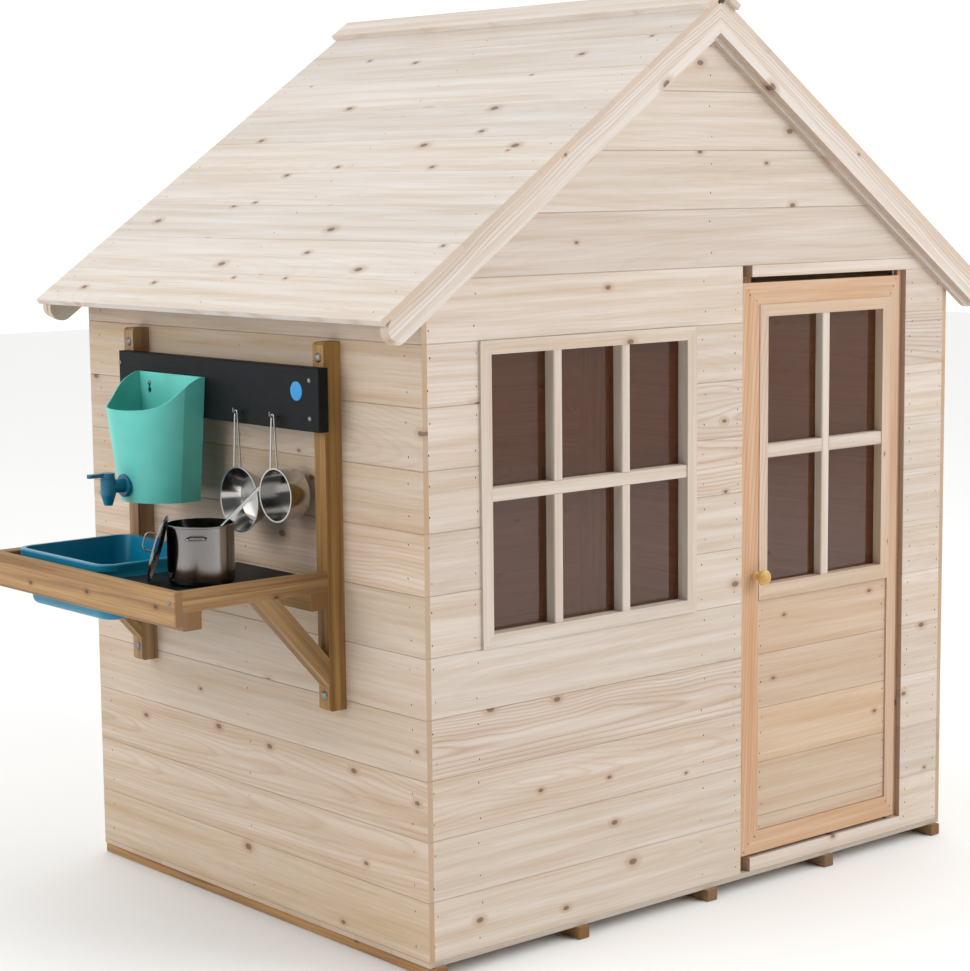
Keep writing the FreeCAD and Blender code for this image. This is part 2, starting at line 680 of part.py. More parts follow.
def screw(place, inward, length=SCREW_LENGTH, head=SCREW_HEAD, lift=0.0):
    """A pan-head screw; lift leaves the head that far off the face."""
    r = head / 2
    face = place - inward * lift
    cap = revolved([(0, 0), (0, r), (1.2, 0.85 * r), (2.0, 0.4 * r), (2.2, 0)], face,
                   inward * -1, Y if abs(inward.y) < 0.5 else X)
    shank = rod(face, place + inward * length, SCREW_DIAMETER / 2)
    return cap.fuse(shank).removeSplitter()


def board_screw_places():
    """Two into each post, two that hold the tank and two spare ones to hang tools from."""
    near, far = POST_FRONT + POST_WIDTH / 2, POST_BACK + POST_WIDTH / 2
    upper, lower = BACK_BOARD_HIGH - 20.0, BACK_BOARD_LOW + 20.0
    return [Vector(BOARD_FACE, y, z) for y in (near, far) for z in (lower, upper)]


def tank_screw_places():
    half = KEYHOLE_SPACING / 2
    return [Vector(BOARD_FACE, TANK_CENTRE + s * half, KEYHOLE_Z) for s in (-1, 1)]


def lip_screw_places():
    middle = (RAIL_TOP_Z + TRAY_TOP) / 2
    return [Vector(TRAY_OUTER, y, middle) for y in (POST_FRONT + POST_WIDTH / 2,
                                                    POST_BACK + POST_WIDTH / 2)]


def kitchen_screws():
    hold = [screw(place, X) for place in board_screw_places() + lip_screw_places()]
    lift = TANK_WALL + 2 * GAP
    short = BACK_BOARD_THICK - SCREW_DIAMETER
    return hold + [screw(place, X, short, TANK_SCREW_HEAD, lift) for place in tank_screw_places()]


def screw_bores():
    bores = [rod(place, place + X * SCREW_LENGTH, SCREW_DIAMETER / 2)
             for place in board_screw_places() + lip_screw_places()]
    short = BACK_BOARD_THICK - SCREW_DIAMETER
    return bores + [rod(place, place + X * short, SCREW_DIAMETER / 2)
                    for place in tank_screw_places()]


def hook_places():
    return [Vector(BOARD_FACE, y, HOOK_HEIGHT) for y in (FRYING_Y, SAUCEPAN_Y)]


def pan_hooks():
    """Screw hooks: a level shank with its tip turned up."""
    pieces = []
    for place in hook_places():
        end = place - X * HOOK_REACH
        path = [place + X * SCREW_DIAMETER, end, end + Z * HOOK_TIP]
        pieces.append(bent_wire(path, [HOOK_WIRE], HOOK_WIRE))
    return pieces


def kitchen_back_board():
    body = box(BOARD_FACE, POST_FACE, POST_FRONT - BACK_BOARD_LAP, KITCHEN_END - BACK_BOARD_LAP,
               BACK_BOARD_LOW, BACK_BOARD_HIGH)
    body = body.makeChamfer(BATTEN_EDGE, [e for e in body.Edges
                                          if e.CenterOfMass.x < BOARD_FACE + 1e-3])
    hooks = [rod(place, place + X * SCREW_DIAMETER, HOOK_WIRE / 2) for place in hook_places()]
    return with_bores([body], screw_bores() + hooks)


def tray_lip():
    outline = box(TRAY_OUTER, TRAY_INNER, POST_FRONT, KITCHEN_END, TRAY_LIP_LOW, TRAY_LIP_HIGH)
    body = outline.makeChamfer(BATTEN_EDGE, [e for e in outline.Edges
                                             if e.CenterOfMass.x < TRAY_OUTER + 1e-3])
    return with_bores([body], screw_bores())


def tray_side_rail(y0):
    body = plank(Vector(TRAY_INNER, y0, RAIL_TOP_Z), Y, Z, X, POST_WIDTH, TRAY_SIDE,
                 POST_FACE - TRAY_INNER, BATTEN_EDGE)
    return with_bores([body], screw_bores())


def tray_rail(x0):
    return [plank(Vector(x0, POST_FRONT, RAIL_TOP_Z), X, -Z, Y, TRAY_RAIL_WIDTH, TRAY_RAIL,
                  KITCHEN_END - POST_FRONT, BATTEN_EDGE)]


def tray_braces():
    """Struts from the posts up to the side rails, cut to fit both."""
    tilt = math.radians(BRACE_TILT)
    along = Vector(-math.cos(tilt), 0, math.sin(tilt))
    square = Vector(math.sin(tilt), 0, math.cos(tilt))
    pieces = []
    for y0 in (POST_FRONT, POST_BACK):
        foot = Vector(POST_FACE, y0, BRACE_FOOT) - along * BRACE_WIDTH * 2
        outline = [foot, foot + along * TRAY_REACH * 2,
                   foot + along * TRAY_REACH * 2 + square * BRACE_WIDTH, foot + square * BRACE_WIDTH]
        room = box(TRAY_OUTER, POST_FACE, y0, y0 + POST_WIDTH, POST_LOW, RAIL_TOP_Z)
        rear = box(REAR_RAIL_IN, POST_FACE, y0, y0 + POST_WIDTH, RAIL_TOP_Z - TRAY_RAIL, RAIL_TOP_Z)
        pieces.append(prism(outline, Y * POST_WIDTH).common(room).cut(rear).Solids[0])
    return pieces


def hob_panel():
    body = box(TRAY_INNER + HOB_GAP, POST_FACE - HOB_GAP, HOB_Y0, HOB_Y1, RAIL_TOP_Z, HOB_TOP)
    return [body.makeChamfer(BOARD_EDGE, [e for e in body.Edges
                                          if e.CenterOfMass.z > HOB_TOP - 1e-3])]


# --- basin ---
def rounded(width, length, radius, z):
    """A level rectangle with round corners, as a wire about the basin's centre."""
    face = Part.makePlane(width, length, Vector(BASIN_X - width / 2, BASIN_Y - length / 2, z))
    tall = face.extrude(Z)
    corners = [e for e in tall.Edges if abs(e.tangentAt(e.FirstParameter).z) > 0.5]
    filleted = tall.makeFillet(radius, corners)
    low = min(filleted.Faces, key=lambda f: f.CenterOfMass.z)
    return low.OuterWire


def wash_basin():
    """A tapered tub whose walls sit between the rails, under a turned-down rim."""
    rim, skirt, wall = BASIN_RIM, BASIN_SKIRT, BASIN_WALL
    top, low = BASIN_RIM_HIGH, BASIN_LOW
    mouth_w, mouth_l = BASIN_MOUTH, BASIN_LENGTH - 2 * rim
    base_w, base_l = mouth_w - 2 * BASIN_TAPER, mouth_l - 2 * BASIN_TAPER
    corner = BASIN_CORNER - rim
    outer = Part.makeLoft([rounded(mouth_w, mouth_l, corner, top),
                           rounded(base_w, base_l, corner, low)], True, True)
    base_edges = [e for e in outer.Edges if e.BoundBox.ZMax < low + 1e-3]
    outer = outer.makeFillet(BASIN_BASE_RADIUS, base_edges)
    inner = Part.makeLoft([rounded(mouth_w - 2 * wall, mouth_l - 2 * wall, corner - wall, top),
                           rounded(base_w - 2 * wall, base_l - 2 * wall, corner - wall, low + wall)],
                          True, True)
    floor_edges = [e for e in inner.Edges if e.BoundBox.ZMax < low + wall + 1e-3]
    inner = inner.makeFillet(BASIN_BASE_RADIUS - wall, floor_edges)
    block = Part.Face(rounded(BASIN_WIDTH, BASIN_LENGTH, BASIN_CORNER, top - skirt)).extrude(Z * skirt)
    upper_edges = [e for e in block.Edges if e.BoundBox.ZMin > top - 1e-3]
    block = block.makeFillet(wall, upper_edges)
    under = Part.Face(rounded(BASIN_WIDTH - 2 * wall, BASIN_LENGTH - 2 * wall, BASIN_CORNER - wall,
                              top - skirt)).extrude(Z * (skirt - wall))
    return [block.cut(under).fuse(outer).cut(inner).removeSplitter()]


# --- water dispenser ---
def tank_section(z, inset):
    """The tank's outline at a height: flat back, short sides and a round front."""
    share = (z - TANK_LOW) / (TANK_BACK_HIGH - TANK_LOW)
    half = (TANK_WIDTH_LOW + (TANK_WIDTH_TOP - TANK_WIDTH_LOW) * share) / 2 - inset
    depth = TANK_DEPTH_LOW + (TANK_DEPTH_TOP - TANK_DEPTH_LOW) * share - inset
    back = TANK_BACK - inset
    side = TANK_BACK - TANK_SIDE
    near, far = TANK_CENTRE - half, TANK_CENTRE + half
    a, b = Vector(back, near, z), Vector(side, near, z)
    c, d = Vector(side, far, z), Vector(back, far, z)
    front = Vector(TANK_BACK - depth, TANK_CENTRE, z)
    return Part.Wire([Part.makeLine(a, b), Part.Arc(b, front, c).toShape(), Part.makeLine(c, d),
                      Part.makeLine(d, a)])


def tank_rim_cut():
    """What is cut away above the rim: a low front that sweeps up to the high back."""
    y0 = TANK_CENTRE - TANK_WIDTH_TOP
    drop = TANK_BACK_HIGH - TANK_RIM_HIGH
    depth = TANK_DEPTH_TOP
    points = [Vector(TANK_BACK - 1.3 * depth, y0, TANK_RIM_HIGH + 0.04 * drop),
              Vector(TANK_BACK - 0.95 * depth, y0, TANK_RIM_HIGH),
              Vector(TANK_BACK - 0.62 * depth, y0, TANK_RIM_HIGH + 0.16 * drop),
              Vector(TANK_BACK - 0.3 * depth, y0, TANK_RIM_HIGH + 0.74 * drop),
              Vector(TANK_BACK - 0.1 * depth, y0, TANK_BACK_HIGH - 0.02 * drop),
              Vector(TANK_BACK + depth, y0, TANK_BACK_HIGH)]
    sweep = Part.BSplineCurve()
    sweep.interpolate(points)
    high = TANK_BACK_HIGH + 2 * drop
    corners = [points[-1], Vector(points[-1].x, y0, high), Vector(points[0].x, y0, high), points[0]]
    outline = Part.Wire([sweep.toShape()] + [Part.makeLine(a, b)
                                             for a, b in zip(corners, corners[1:])])
    return Part.Face(outline).extrude(Y * (2 * TANK_WIDTH_TOP))


def keyhole(place):
    """A slot over a hole that the screw's head passes through."""
    inward = X * (2 * TANK_WALL)
    start = Vector(TANK_BACK - 1.5 * TANK_WALL, place.y, place.z)
    low = start - Z * KEYHOLE_LIFT
    slot_radius = SCREW_DIAMETER / 2 + GAP
    slot = box(start.x, start.x + inward.x, start.y - slot_radius, start.y + slot_radius,
               low.z, start.z)
    return slot.fuse([rod(start, start + inward, slot_radius),
                      rod(low, low + inward, KEYHOLE_HEAD / 2)])


def tank_block():
    return Part.makeLoft([tank_section(TANK_LOW, 0), tank_section(TANK_BACK_HIGH, 0)], True, True)


def water_dispenser():
    outer = tank_block()
    inner = Part.makeLoft([tank_section(TANK_LOW + TANK_WALL, TANK_WALL),
                           tank_section(TANK_BACK_HIGH + TANK_WALL, TANK_WALL)], True, True)
    shell = outer.cut(inner).cut(tank_rim_cut())
    for place in tank_screw_places():
        shell = shell.cut(keyhole(place))
    tail = rod(Vector(tap_face() - TAP_FLANGE_THICK, TANK_CENTRE, TAP_Z),
               Vector(tap_face() + TAP_BARREL, TANK_CENTRE, TAP_Z), TAP_BARREL / 2)
    return [shell.cut(tail)]


def tap_face():
    """X of the tank's front wall at the height of the tap."""
    share = TAP_HEIGHT / (TANK_BACK_HIGH - TANK_LOW)
    depth = TANK_DEPTH_LOW + (TANK_DEPTH_TOP - TANK_DEPTH_LOW) * share
    return TANK_BACK - depth


def tap_body():
    """A flange that fits the tank's wall, the barrel through it, and the valve with its spout."""
    centre = Vector(tap_face(), TANK_CENTRE, TAP_Z)
    flange = rod(centre + X * TAP_FLANGE_THICK, centre - X * TAP_FLANGE_THICK, TAP_FLANGE / 2)
    outer_edge = min(flange.Edges, key=lambda e: e.CenterOfMass.x)
    flange = flange.makeFillet(TAP_FLANGE_THICK / 3, [outer_edge]).cut(tank_block())
    barrel = rod(centre + X * (TAP_BARREL / 2), centre - X * TAP_REACH, TAP_BARREL / 2)
    axis = centre - X * TAP_REACH
    valve = rod(axis - Z * (TAP_VALVE / 2), axis + Z * TAP_VALVE_HIGH, TAP_VALVE / 2)
    spout = Part.makeCone(TAP_SPOUT / 2, TAP_VALVE / 2, TAP_SPOUT_LOW - TAP_VALVE / 2,
                          axis - Z * TAP_SPOUT_LOW)
    bore = rod(axis - Z * (TAP_STEM / 2), axis + Z * TAP_VALVE_HIGH, TAP_STEM / 2 + PIN_CLEARANCE)
    water_way = rod(axis - Z * TAP_SPOUT_LOW, axis - Z * (TAP_SPOUT_LOW / 2), TAP_SPOUT / 3)
    return [valve.fuse([flange, barrel, spout]).cut(bore).cut(water_way).removeSplitter()]


def tap_lever():
    axis = Vector(tap_face() - TAP_REACH, TANK_CENTRE, TAP_Z + TAP_VALVE_HIGH)
    stem = rod(axis - Z * (TAP_VALVE_HIGH - GAP), axis + Z * LEVER_CAP, TAP_STEM / 2)
    cap = rod(axis + Z * GAP, axis + Z * LEVER_CAP, TAP_VALVE / 2 - 1.0)
    arm = box(axis.x - LEVER_LENGTH, axis.x, axis.y - LEVER_WIDTH / 2, axis.y + LEVER_WIDTH / 2,
              axis.z + LEVER_CAP - LEVER_THICK, axis.z + LEVER_CAP)
    tip = min(arm.Edges, key=lambda e: e.CenterOfMass.x)
    arm = arm.makeFillet(LEVER_WIDTH / 2 - 0.5,
                         [e for e in arm.Edges if e.CenterOfMass.x < tip.CenterOfMass.x + 1e-3
                          and abs(e.tangentAt(e.FirstParameter).z) > 0.5])
    return [stem.fuse([cap, arm]).removeSplitter()]


# --- pot, lid and ladle ---
def wire_loop(root, out, along, span, reach, inset=0.0):
    """A U of wire that stands off a surface: two legs and a rounded bar."""
    a = root - along * (span / 2) - out * inset
    d = root + along * (span / 2) - out * inset
    corners = [a, a + out * (reach + inset), d + out * (reach + inset), d]
    bend = min(span, reach) * 0.4
    return bent_wire(corners, [bend, bend], WIRE)


def pot_shell():
    r, h, t = POT_DIAMETER / 2, POT_HEIGHT, STEEL
    base = POT_BASE_RADIUS
    outline = [(0, 0), (0, r - base), (0.13 * base, r - 0.5 * base), (0.5 * base, r - 0.13 * base),
               (base, r), (h - 2 * POT_RIM, r), (h - 1.5 * POT_RIM, r + POT_RIM),
               (h - 0.4 * POT_RIM, r + POT_RIM), (h, r), (h, r - t), (base, r - t),
               (0.5 * base + t, r - 0.2 * base - t), (2 * t, r - base), (2 * t, 0)]
    return revolved(outline, POT_CENTRE)


def cooking_pot():
    """The pot and its two small wire handles, brazed to its wall."""
    shell = pot_shell()
    height = Z * (POT_HEIGHT - POT_LOOP_DROP)
    pieces = []
    for direction in (AWAY * -1, AWAY):
        root = POT_CENTRE + direction * (POT_DIAMETER / 2) + height
        loop = wire_loop(root, direction, ASIDE, POT_LOOP_SPAN, POT_LOOP_REACH, STEEL * 4)
        pieces.append(loop.cut(rod(POT_CENTRE, POT_CENTRE + Z * POT_HEIGHT, POT_DIAMETER / 2)))
    return [shell] + [piece.Solids[0] for piece in pieces]


def lid_axis():
    """Where the lid's foot stands on the hob, its outward normal and its rising line."""
    lean = math.radians(LID_LEAN)
    normal = ASIDE * (-math.cos(lean)) + Z * math.sin(lean)
    rising = ASIDE * math.sin(lean) + Z * math.cos(lean)
    return normal, rising


def pot_lid():
    """A dished lid that leans on the pot's rim, with a wire handle on its outer face."""
    normal, rising = lid_axis()
    r, t = POT_DIAMETER / 2 + POT_RIM, STEEL
    rim = POT_CENTRE + Z * (POT_HEIGHT - POT_RIM) - ASIDE * (r + GAP)
    up = (rim.z - HOB_TOP) / rising.z
    foot = rim - rising * up + Z * (t * abs(normal.z) + GAP)
    centre = foot + rising * r
    brim = LID_DISH
    outline = [(0, r - brim), (0, r), (t, r), (t, r - 0.8 * brim), (LID_DISH, r - 1.8 * brim),
               (LID_DISH, 0), (LID_DISH - t, 0), (LID_DISH - t, r - 2 * brim)]
    disc = revolved(outline, centre, normal, rising)
    handle_root = centre + normal * LID_DISH + rising * (r * 0.15)
    loop = wire_loop(handle_root, normal, rising, LID_LOOP_SPAN, LID_LOOP_REACH)
    return [disc, loop]


def ladle():
    """A round bowl in the pot, on a flat handle that leans on the rim."""
    bowl_centre = POT_CENTRE - ASIDE * LADLE_OFFSET + Z * (LADLE_BOWL + LADLE_FLOOR_GAP)
    turn = math.radians(LADLE_TURN)
    towards_rim = ASIDE * math.cos(turn) + AWAY * math.sin(turn)
    rim = POT_CENTRE + towards_rim * (POT_DIAMETER / 2 - STEEL) + Z * POT_HEIGHT
    reach = (rim - bowl_centre).Length
    along = (rim - bowl_centre).normalize()
    across = along.cross(Z).normalize()
    face = across.cross(along).normalize()
    bowl_centre = bowl_centre + face * (LADLE_THICK + LADLE_RIM_GAP)
    bowl = Part.makeSphere(LADLE_BOWL, bowl_centre, face)
    hollow = Part.makeSphere(LADLE_BOWL - STEEL, bowl_centre, face)
    keep = rod(bowl_centre - face * LADLE_BOWL, bowl_centre, 2 * LADLE_BOWL)
    shell = bowl.cut(hollow).common(keep)
    start = bowl_centre + along * (LADLE_BOWL - STEEL / 2) - across * (LADLE_WIDTH / 2)
    length = reach + LADLE_OVERHANG - LADLE_BOWL
    handle = plank(start - face * LADLE_THICK, across, face, along, LADLE_WIDTH, LADLE_THICK,
                   length, LADLE_THICK / 4)
    eye_at = start + across * (LADLE_WIDTH / 2) + along * (length - LADLE_WIDTH)
    eye = rod(eye_at - face * LADLE_WIDTH, eye_at + face * LADLE_WIDTH, LADLE_WIDTH / 4)
    return [shell.fuse(handle.cut(eye)).removeSplitter()]


# --- hanging pans ---
def pan_handle(y, drop, radius):
    """A wire bent over the hook, with both legs down to the pan's rim."""
    top = Vector(HOOK_X, y, HOOK_HEIGHT)
    rim_z = HOOK_HEIGHT - drop + math.sqrt(radius ** 2 - (HANDLE_SPREAD / 2) ** 2)
    low = Vector(HOOK_X, y, rim_z)
    spread = HANDLE_SPREAD / 2
    reach = math.hypot(spread, top.z - rim_z)
    turn = math.atan2(spread, top.z - rim_z) - math.asin(HANDLE_RADIUS / reach)
    touch = Vector(0, math.cos(turn), math.sin(turn)) * HANDLE_RADIUS
    mirror = Vector(0, -touch.y, touch.z)
    arc = Part.Arc(top + touch, top + Z * HANDLE_RADIUS, top + mirror).toShape()
    left = Part.makeLine(low + Y * spread, top + touch)
    right = Part.makeLine(top + mirror, low - Y * spread)
    ring = Part.Wire(Part.makeCircle(WIRE / 2, low + Y * spread, (top + touch) - (low + Y * spread)))
    return Part.Wire([left, arc, right]).makePipeShell([ring], True, True)


def pan(y, diameter, base, depth, drop):
    """A pan hung with its base to the wall and its open side outwards."""
    r, b, t = diameter / 2, base / 2, STEEL
    centre = Vector(HOOK_X + WIRE / 2, y, HOOK_HEIGHT - drop)
    outline = [(0, r - t), (0, r + PAN_LIP), (t, r + PAN_LIP), (t, r), (depth, b), (depth, 0),
               (depth - t, 0), (depth - t, b - t)]
    shell = revolved(outline, centre, X, Z)
    handle = pan_handle(y, drop, r + PAN_LIP)
    return [shell, handle.cut(shell).Solids[0]]


def export(name, pieces):
    """Write one sub-part, as a single solid or as a compound of its pieces."""
    shape = pieces[0] if len(pieces) == 1 else Part.makeCompound(pieces)
    for index, piece in enumerate(pieces):
        if not piece.isValid() or piece.Volume <= 0:
            raise ValueError(name + " piece " + str(index) + " is not a valid solid")
    shape.exportStep(os.path.join("parts", name + ".step"))


def main():
    os.makedirs("parts", exist_ok=True)
    bolts = bolt_shanks()
    posts = [with_bores([kitchen_post(y0)], bolts + screw_bores()) for y0 in (POST_FRONT, POST_BACK)]
    nodes = {
        "floor_boards": floor_boards(),
        "left_wall_boards": with_bores(side_boards(-1), bolts),
        "right_wall_boards": side_boards(1),
        "back_wall_boards": under_roof(front_boards(-INNER_SIDE, INNER_SIDE, FLOOR_TOP, WALL_TOP,
                                                    BACK, 1)),
        "back_gable_boards": gable_boards(BACK, 1),
        "front_lower_boards": front_boards(-INNER_SIDE, OPENING_X0, FLOOR_TOP, WINDOW_Z0, FRONT),
        "front_left_boards": front_boards(-INNER_SIDE, WINDOW_X0, WINDOW_Z0, WINDOW_Z1, FRONT),
        "front_middle_boards": front_boards(WINDOW_X1, OPENING_X0, WINDOW_Z0, WINDOW_Z1, FRONT),
        "front_upper_board": under_roof(front_boards(-INNER_SIDE, OPENING_X0, WINDOW_Z1, WALL_TOP,
                                                     FRONT)),
        "front_right_boards": front_boards(OPENING_X1, INNER_SIDE, FLOOR_TOP, LINTEL_LOW, FRONT),
        "front_gable_boards": gable_boards(FRONT, -1),
        "front_battens": front_battens(),
        "back_battens": back_battens(),
        "side_battens": with_bores(side_battens(), bolts),
        "eaves_battens": eaves_battens(),
        "door_lintel": door_lintel(),
        "door_threshold": door_threshold(),
        "door_pivot_pins": door_pivot_pins(),
        "window_frame": window_frame(),
        "window_muntins": window_muntins(),
        "window_glazing": window_glazing(),
        "door_frame": door_frame(),
        "door_boards": door_boards(),
        "door_glazing_bead": door_glazing_bead(),
        "door_muntins": door_muntins(),
        "door_glazing": door_glazing(),
        "door_knob": door_knob(),
        "left_roof_boards": roof_boards(-1),
        "right_roof_boards": roof_boards(1),
        "front_barge_boards": barge_boards(True),
        "back_barge_boards": barge_boards(False),
        "roof_rafters": rafters(),
        "ridge_cap": ridge_cap(),
        "kitchen_post_front": posts[0],
        "kitchen_post_back": posts[1],
        "kitchen_back_board": kitchen_back_board(),
        "coach_bolts": coach_bolts(),
        "kitchen_screws": kitchen_screws(),
        "pan_hooks": pan_hooks(),
        "tray_lip": tray_lip(),
        "tray_side_rails": tray_side_rail(POST_FRONT) + tray_side_rail(POST_BACK),
        "tray_front_rail": tray_rail(TRAY_INNER),
        "tray_rear_rail": tray_rail(REAR_RAIL_IN),
        "tray_braces": tray_braces(),
        "hob_panel": hob_panel(),
        "wash_basin": wash_basin(),
        "water_dispenser": water_dispenser(),
        "tap_body": tap_body(),
        "tap_lever": tap_lever(),
        "cooking_pot": cooking_pot(),
        "pot_lid": pot_lid(),
        "ladle": ladle(),
        "frying_pan": pan(FRYING_Y, FRYING_DIAMETER, FRYING_BASE, FRYING_DEPTH, FRYING_DROP),
        "saucepan": pan(SAUCEPAN_Y, SAUCEPAN_DIAMETER, SAUCEPAN_BASE, SAUCEPAN_DEPTH,
                        SAUCEPAN_DROP),
    }
    for index in range(BEARER_COUNT):
        nodes["floor_bearer_" + str(index + 1)] = floor_bearer(index)
    for name, pieces in nodes.items():
        export(name, pieces)


main()
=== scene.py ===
"""The looks of a wooden playhouse with a mud kitchen on its left side wall.

Metres. X runs along the front from left to right, Y from the front to the back, Z is up.
"""

import math
import random

import bmesh
import bpy
from bpy.props import FloatProperty, FloatVectorProperty, IntProperty
from mathutils import Matrix, Vector


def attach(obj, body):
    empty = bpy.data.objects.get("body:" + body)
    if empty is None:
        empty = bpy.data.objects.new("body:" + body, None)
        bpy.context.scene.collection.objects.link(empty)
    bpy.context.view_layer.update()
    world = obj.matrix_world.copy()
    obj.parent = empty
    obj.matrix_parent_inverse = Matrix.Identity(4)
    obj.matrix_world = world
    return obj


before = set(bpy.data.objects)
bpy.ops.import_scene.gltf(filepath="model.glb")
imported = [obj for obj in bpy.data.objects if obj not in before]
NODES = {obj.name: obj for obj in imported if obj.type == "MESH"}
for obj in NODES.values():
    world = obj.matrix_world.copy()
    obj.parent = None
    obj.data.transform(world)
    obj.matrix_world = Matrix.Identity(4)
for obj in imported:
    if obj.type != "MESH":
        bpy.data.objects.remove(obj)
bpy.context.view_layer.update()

bl_info = {
    "name": "Playhouse with mud kitchen",
    "version": (1, 0, 0),
    "blender": (4, 5, 0),
    "location": "3D View > Sidebar > Playhouse",
    "description": "Finishes, fixings and a plain studio for the packed playhouse",
    "category": "Object",
}

MM = 0.001
X = Vector((1, 0, 0))
Y = Vector((0, 1, 0))
Z = Vector((0, 0, 1))

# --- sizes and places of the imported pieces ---
FRONT_FACE = -469 * MM          # outer face of the front wall; the back wall's is opposite
SIDE_FACE = 610 * MM            # outer faces of the side walls, at minus this and plus this
BOARD = 10 * MM                 # thickness of the roof boards
WALL_BOARDS = 11
GABLE_BOARDS = 4
ROOF_BOARDS = 9
FLOOR_COVER = 93.8 * MM         # width that one floor board shows
RIDGE_GAP = 5 * MM              # from the ridge down to the first roof board
BRACE_TILT = math.radians(48)   # from level

# frames: left, right, low and high edge, then the width of the member at each
WINDOW = (-499 * MM, -35 * MM, 500.5 * MM, 973 * MM)
WINDOW_MEMBERS = (21.5 * MM, 21.5 * MM, 21.5 * MM, 21.5 * MM)
DOOR = (78 * MM, 480 * MM, 58 * MM, 1038 * MM)
DOOR_MEMBERS = (42 * MM, 24 * MM, 38 * MM, 37 * MM)
BEAD = (120 * MM, 456 * MM, 499 * MM, 1001 * MM)
BEAD_MEMBERS = (20 * MM, 20 * MM, 26 * MM, 20 * MM)
DOOR_FACE = -467.5 * MM
DOOR_BOARDS_FACE = -464.5 * MM
DOOR_BOARDS_START = 26.5 * MM   # height that the joints of the door's boards are counted from

# glazing bars that run right through: middle, and half the width
WINDOW_BAR = (736.75 * MM, 10.6 * MM)
DOOR_BAR = (288 * MM, 9.6 * MM)

POT_CENTRE = Vector((-795, -150, 601)) * MM
FRYING_PAN_CENTRE = Vector((-690, -70, 710)) * MM
SAUCEPAN_CENTRE = Vector((-690, -170, 726)) * MM
BADGE_CENTRE = Vector((-660 * MM, -222 * MM, 893 * MM))
BADGE_RADIUS = 15 * MM
BADGE_THICK = 0.5 * MM

# --- lines of nails, in mm along each wall from its middle ---
FRONT_NAILS = (-596, -508, -16)
STRIP_NAILS = (62, 512)         # beside the door's opening
CORNER_NAILS = 590
BACK_NAILS = (-583, -200, 200, 583)
LEFT_NAILS = (-432, 0, 432)
RIGHT_NAILS = (-422, 0, 422)
ROOF_NAILS = (-452, 0, 452)
DOOR_NAILS = (129, 448)
STRIP_NAILS_TOP = 1045 * MM     # the highest board has none beside the door
SIDE_NAILS_TOP = 1040 * MM      # the eaves cover the side walls above this
DOOR_NAILS_LOW = 100 * MM       # the low rail covers the boards below this
GABLE_NAILS_IN = 34 * MM        # level distance from the roof's underside

# --- knots, rings and joints of the planed boards ---
KNOT_CELL = 0.11                # one chance of a knot in each cell this wide, across the grain
KNOT_STRETCH = 0.58             # cells are longer along the grain by one over this
RING_STEP = 6 * MM
JOINT_SHADOW = 1.5 * MM         # each side of a joint

# --- studio ---
FLOOR_REACH = 14.0
FLOOR_DROP = 0.5 * MM           # below the feet, so that the two don't touch
OPEN_SIDE = (-0.643, -0.755, 0.13)
SOFTBOX_SIDE = 3.0
KEY_SPOT = (2.6, -4.4, 3.3)
FILL_SPOT = (-4.8, 0.5, 2.6)
LIT_POINT = Vector((0.0, 0.0, 0.75))
CAMERA_SPOT = Vector((-2.7753, -3.1484, 1.2137))
CAMERA_TURN = math.radians(-40.465)
CAMERA_LIFT = math.radians(7.452)
CAMERA_ROLL = math.radians(-0.596)
CAMERA_LENS = 86.74
CAMERA_SENSOR = 36.0


def linear(code, alpha=1.0):
    """An sRGB hex value as linear colour."""
    parts = [int(code[i:i + 2], 16) / 255 for i in (0, 2, 4)]
    parts = [p / 12.92 if p <= 0.04045 else ((p + 0.055) / 1.055) ** 2.4 for p in parts]
    return (*parts, alpha)


def colour(name, code, description):
    """A colour setting whose default is an sRGB hex value."""
    return FloatVectorProperty(name=name, description=description, subtype="COLOR", size=4,
                               min=0.0, max=1.0, default=linear(code))


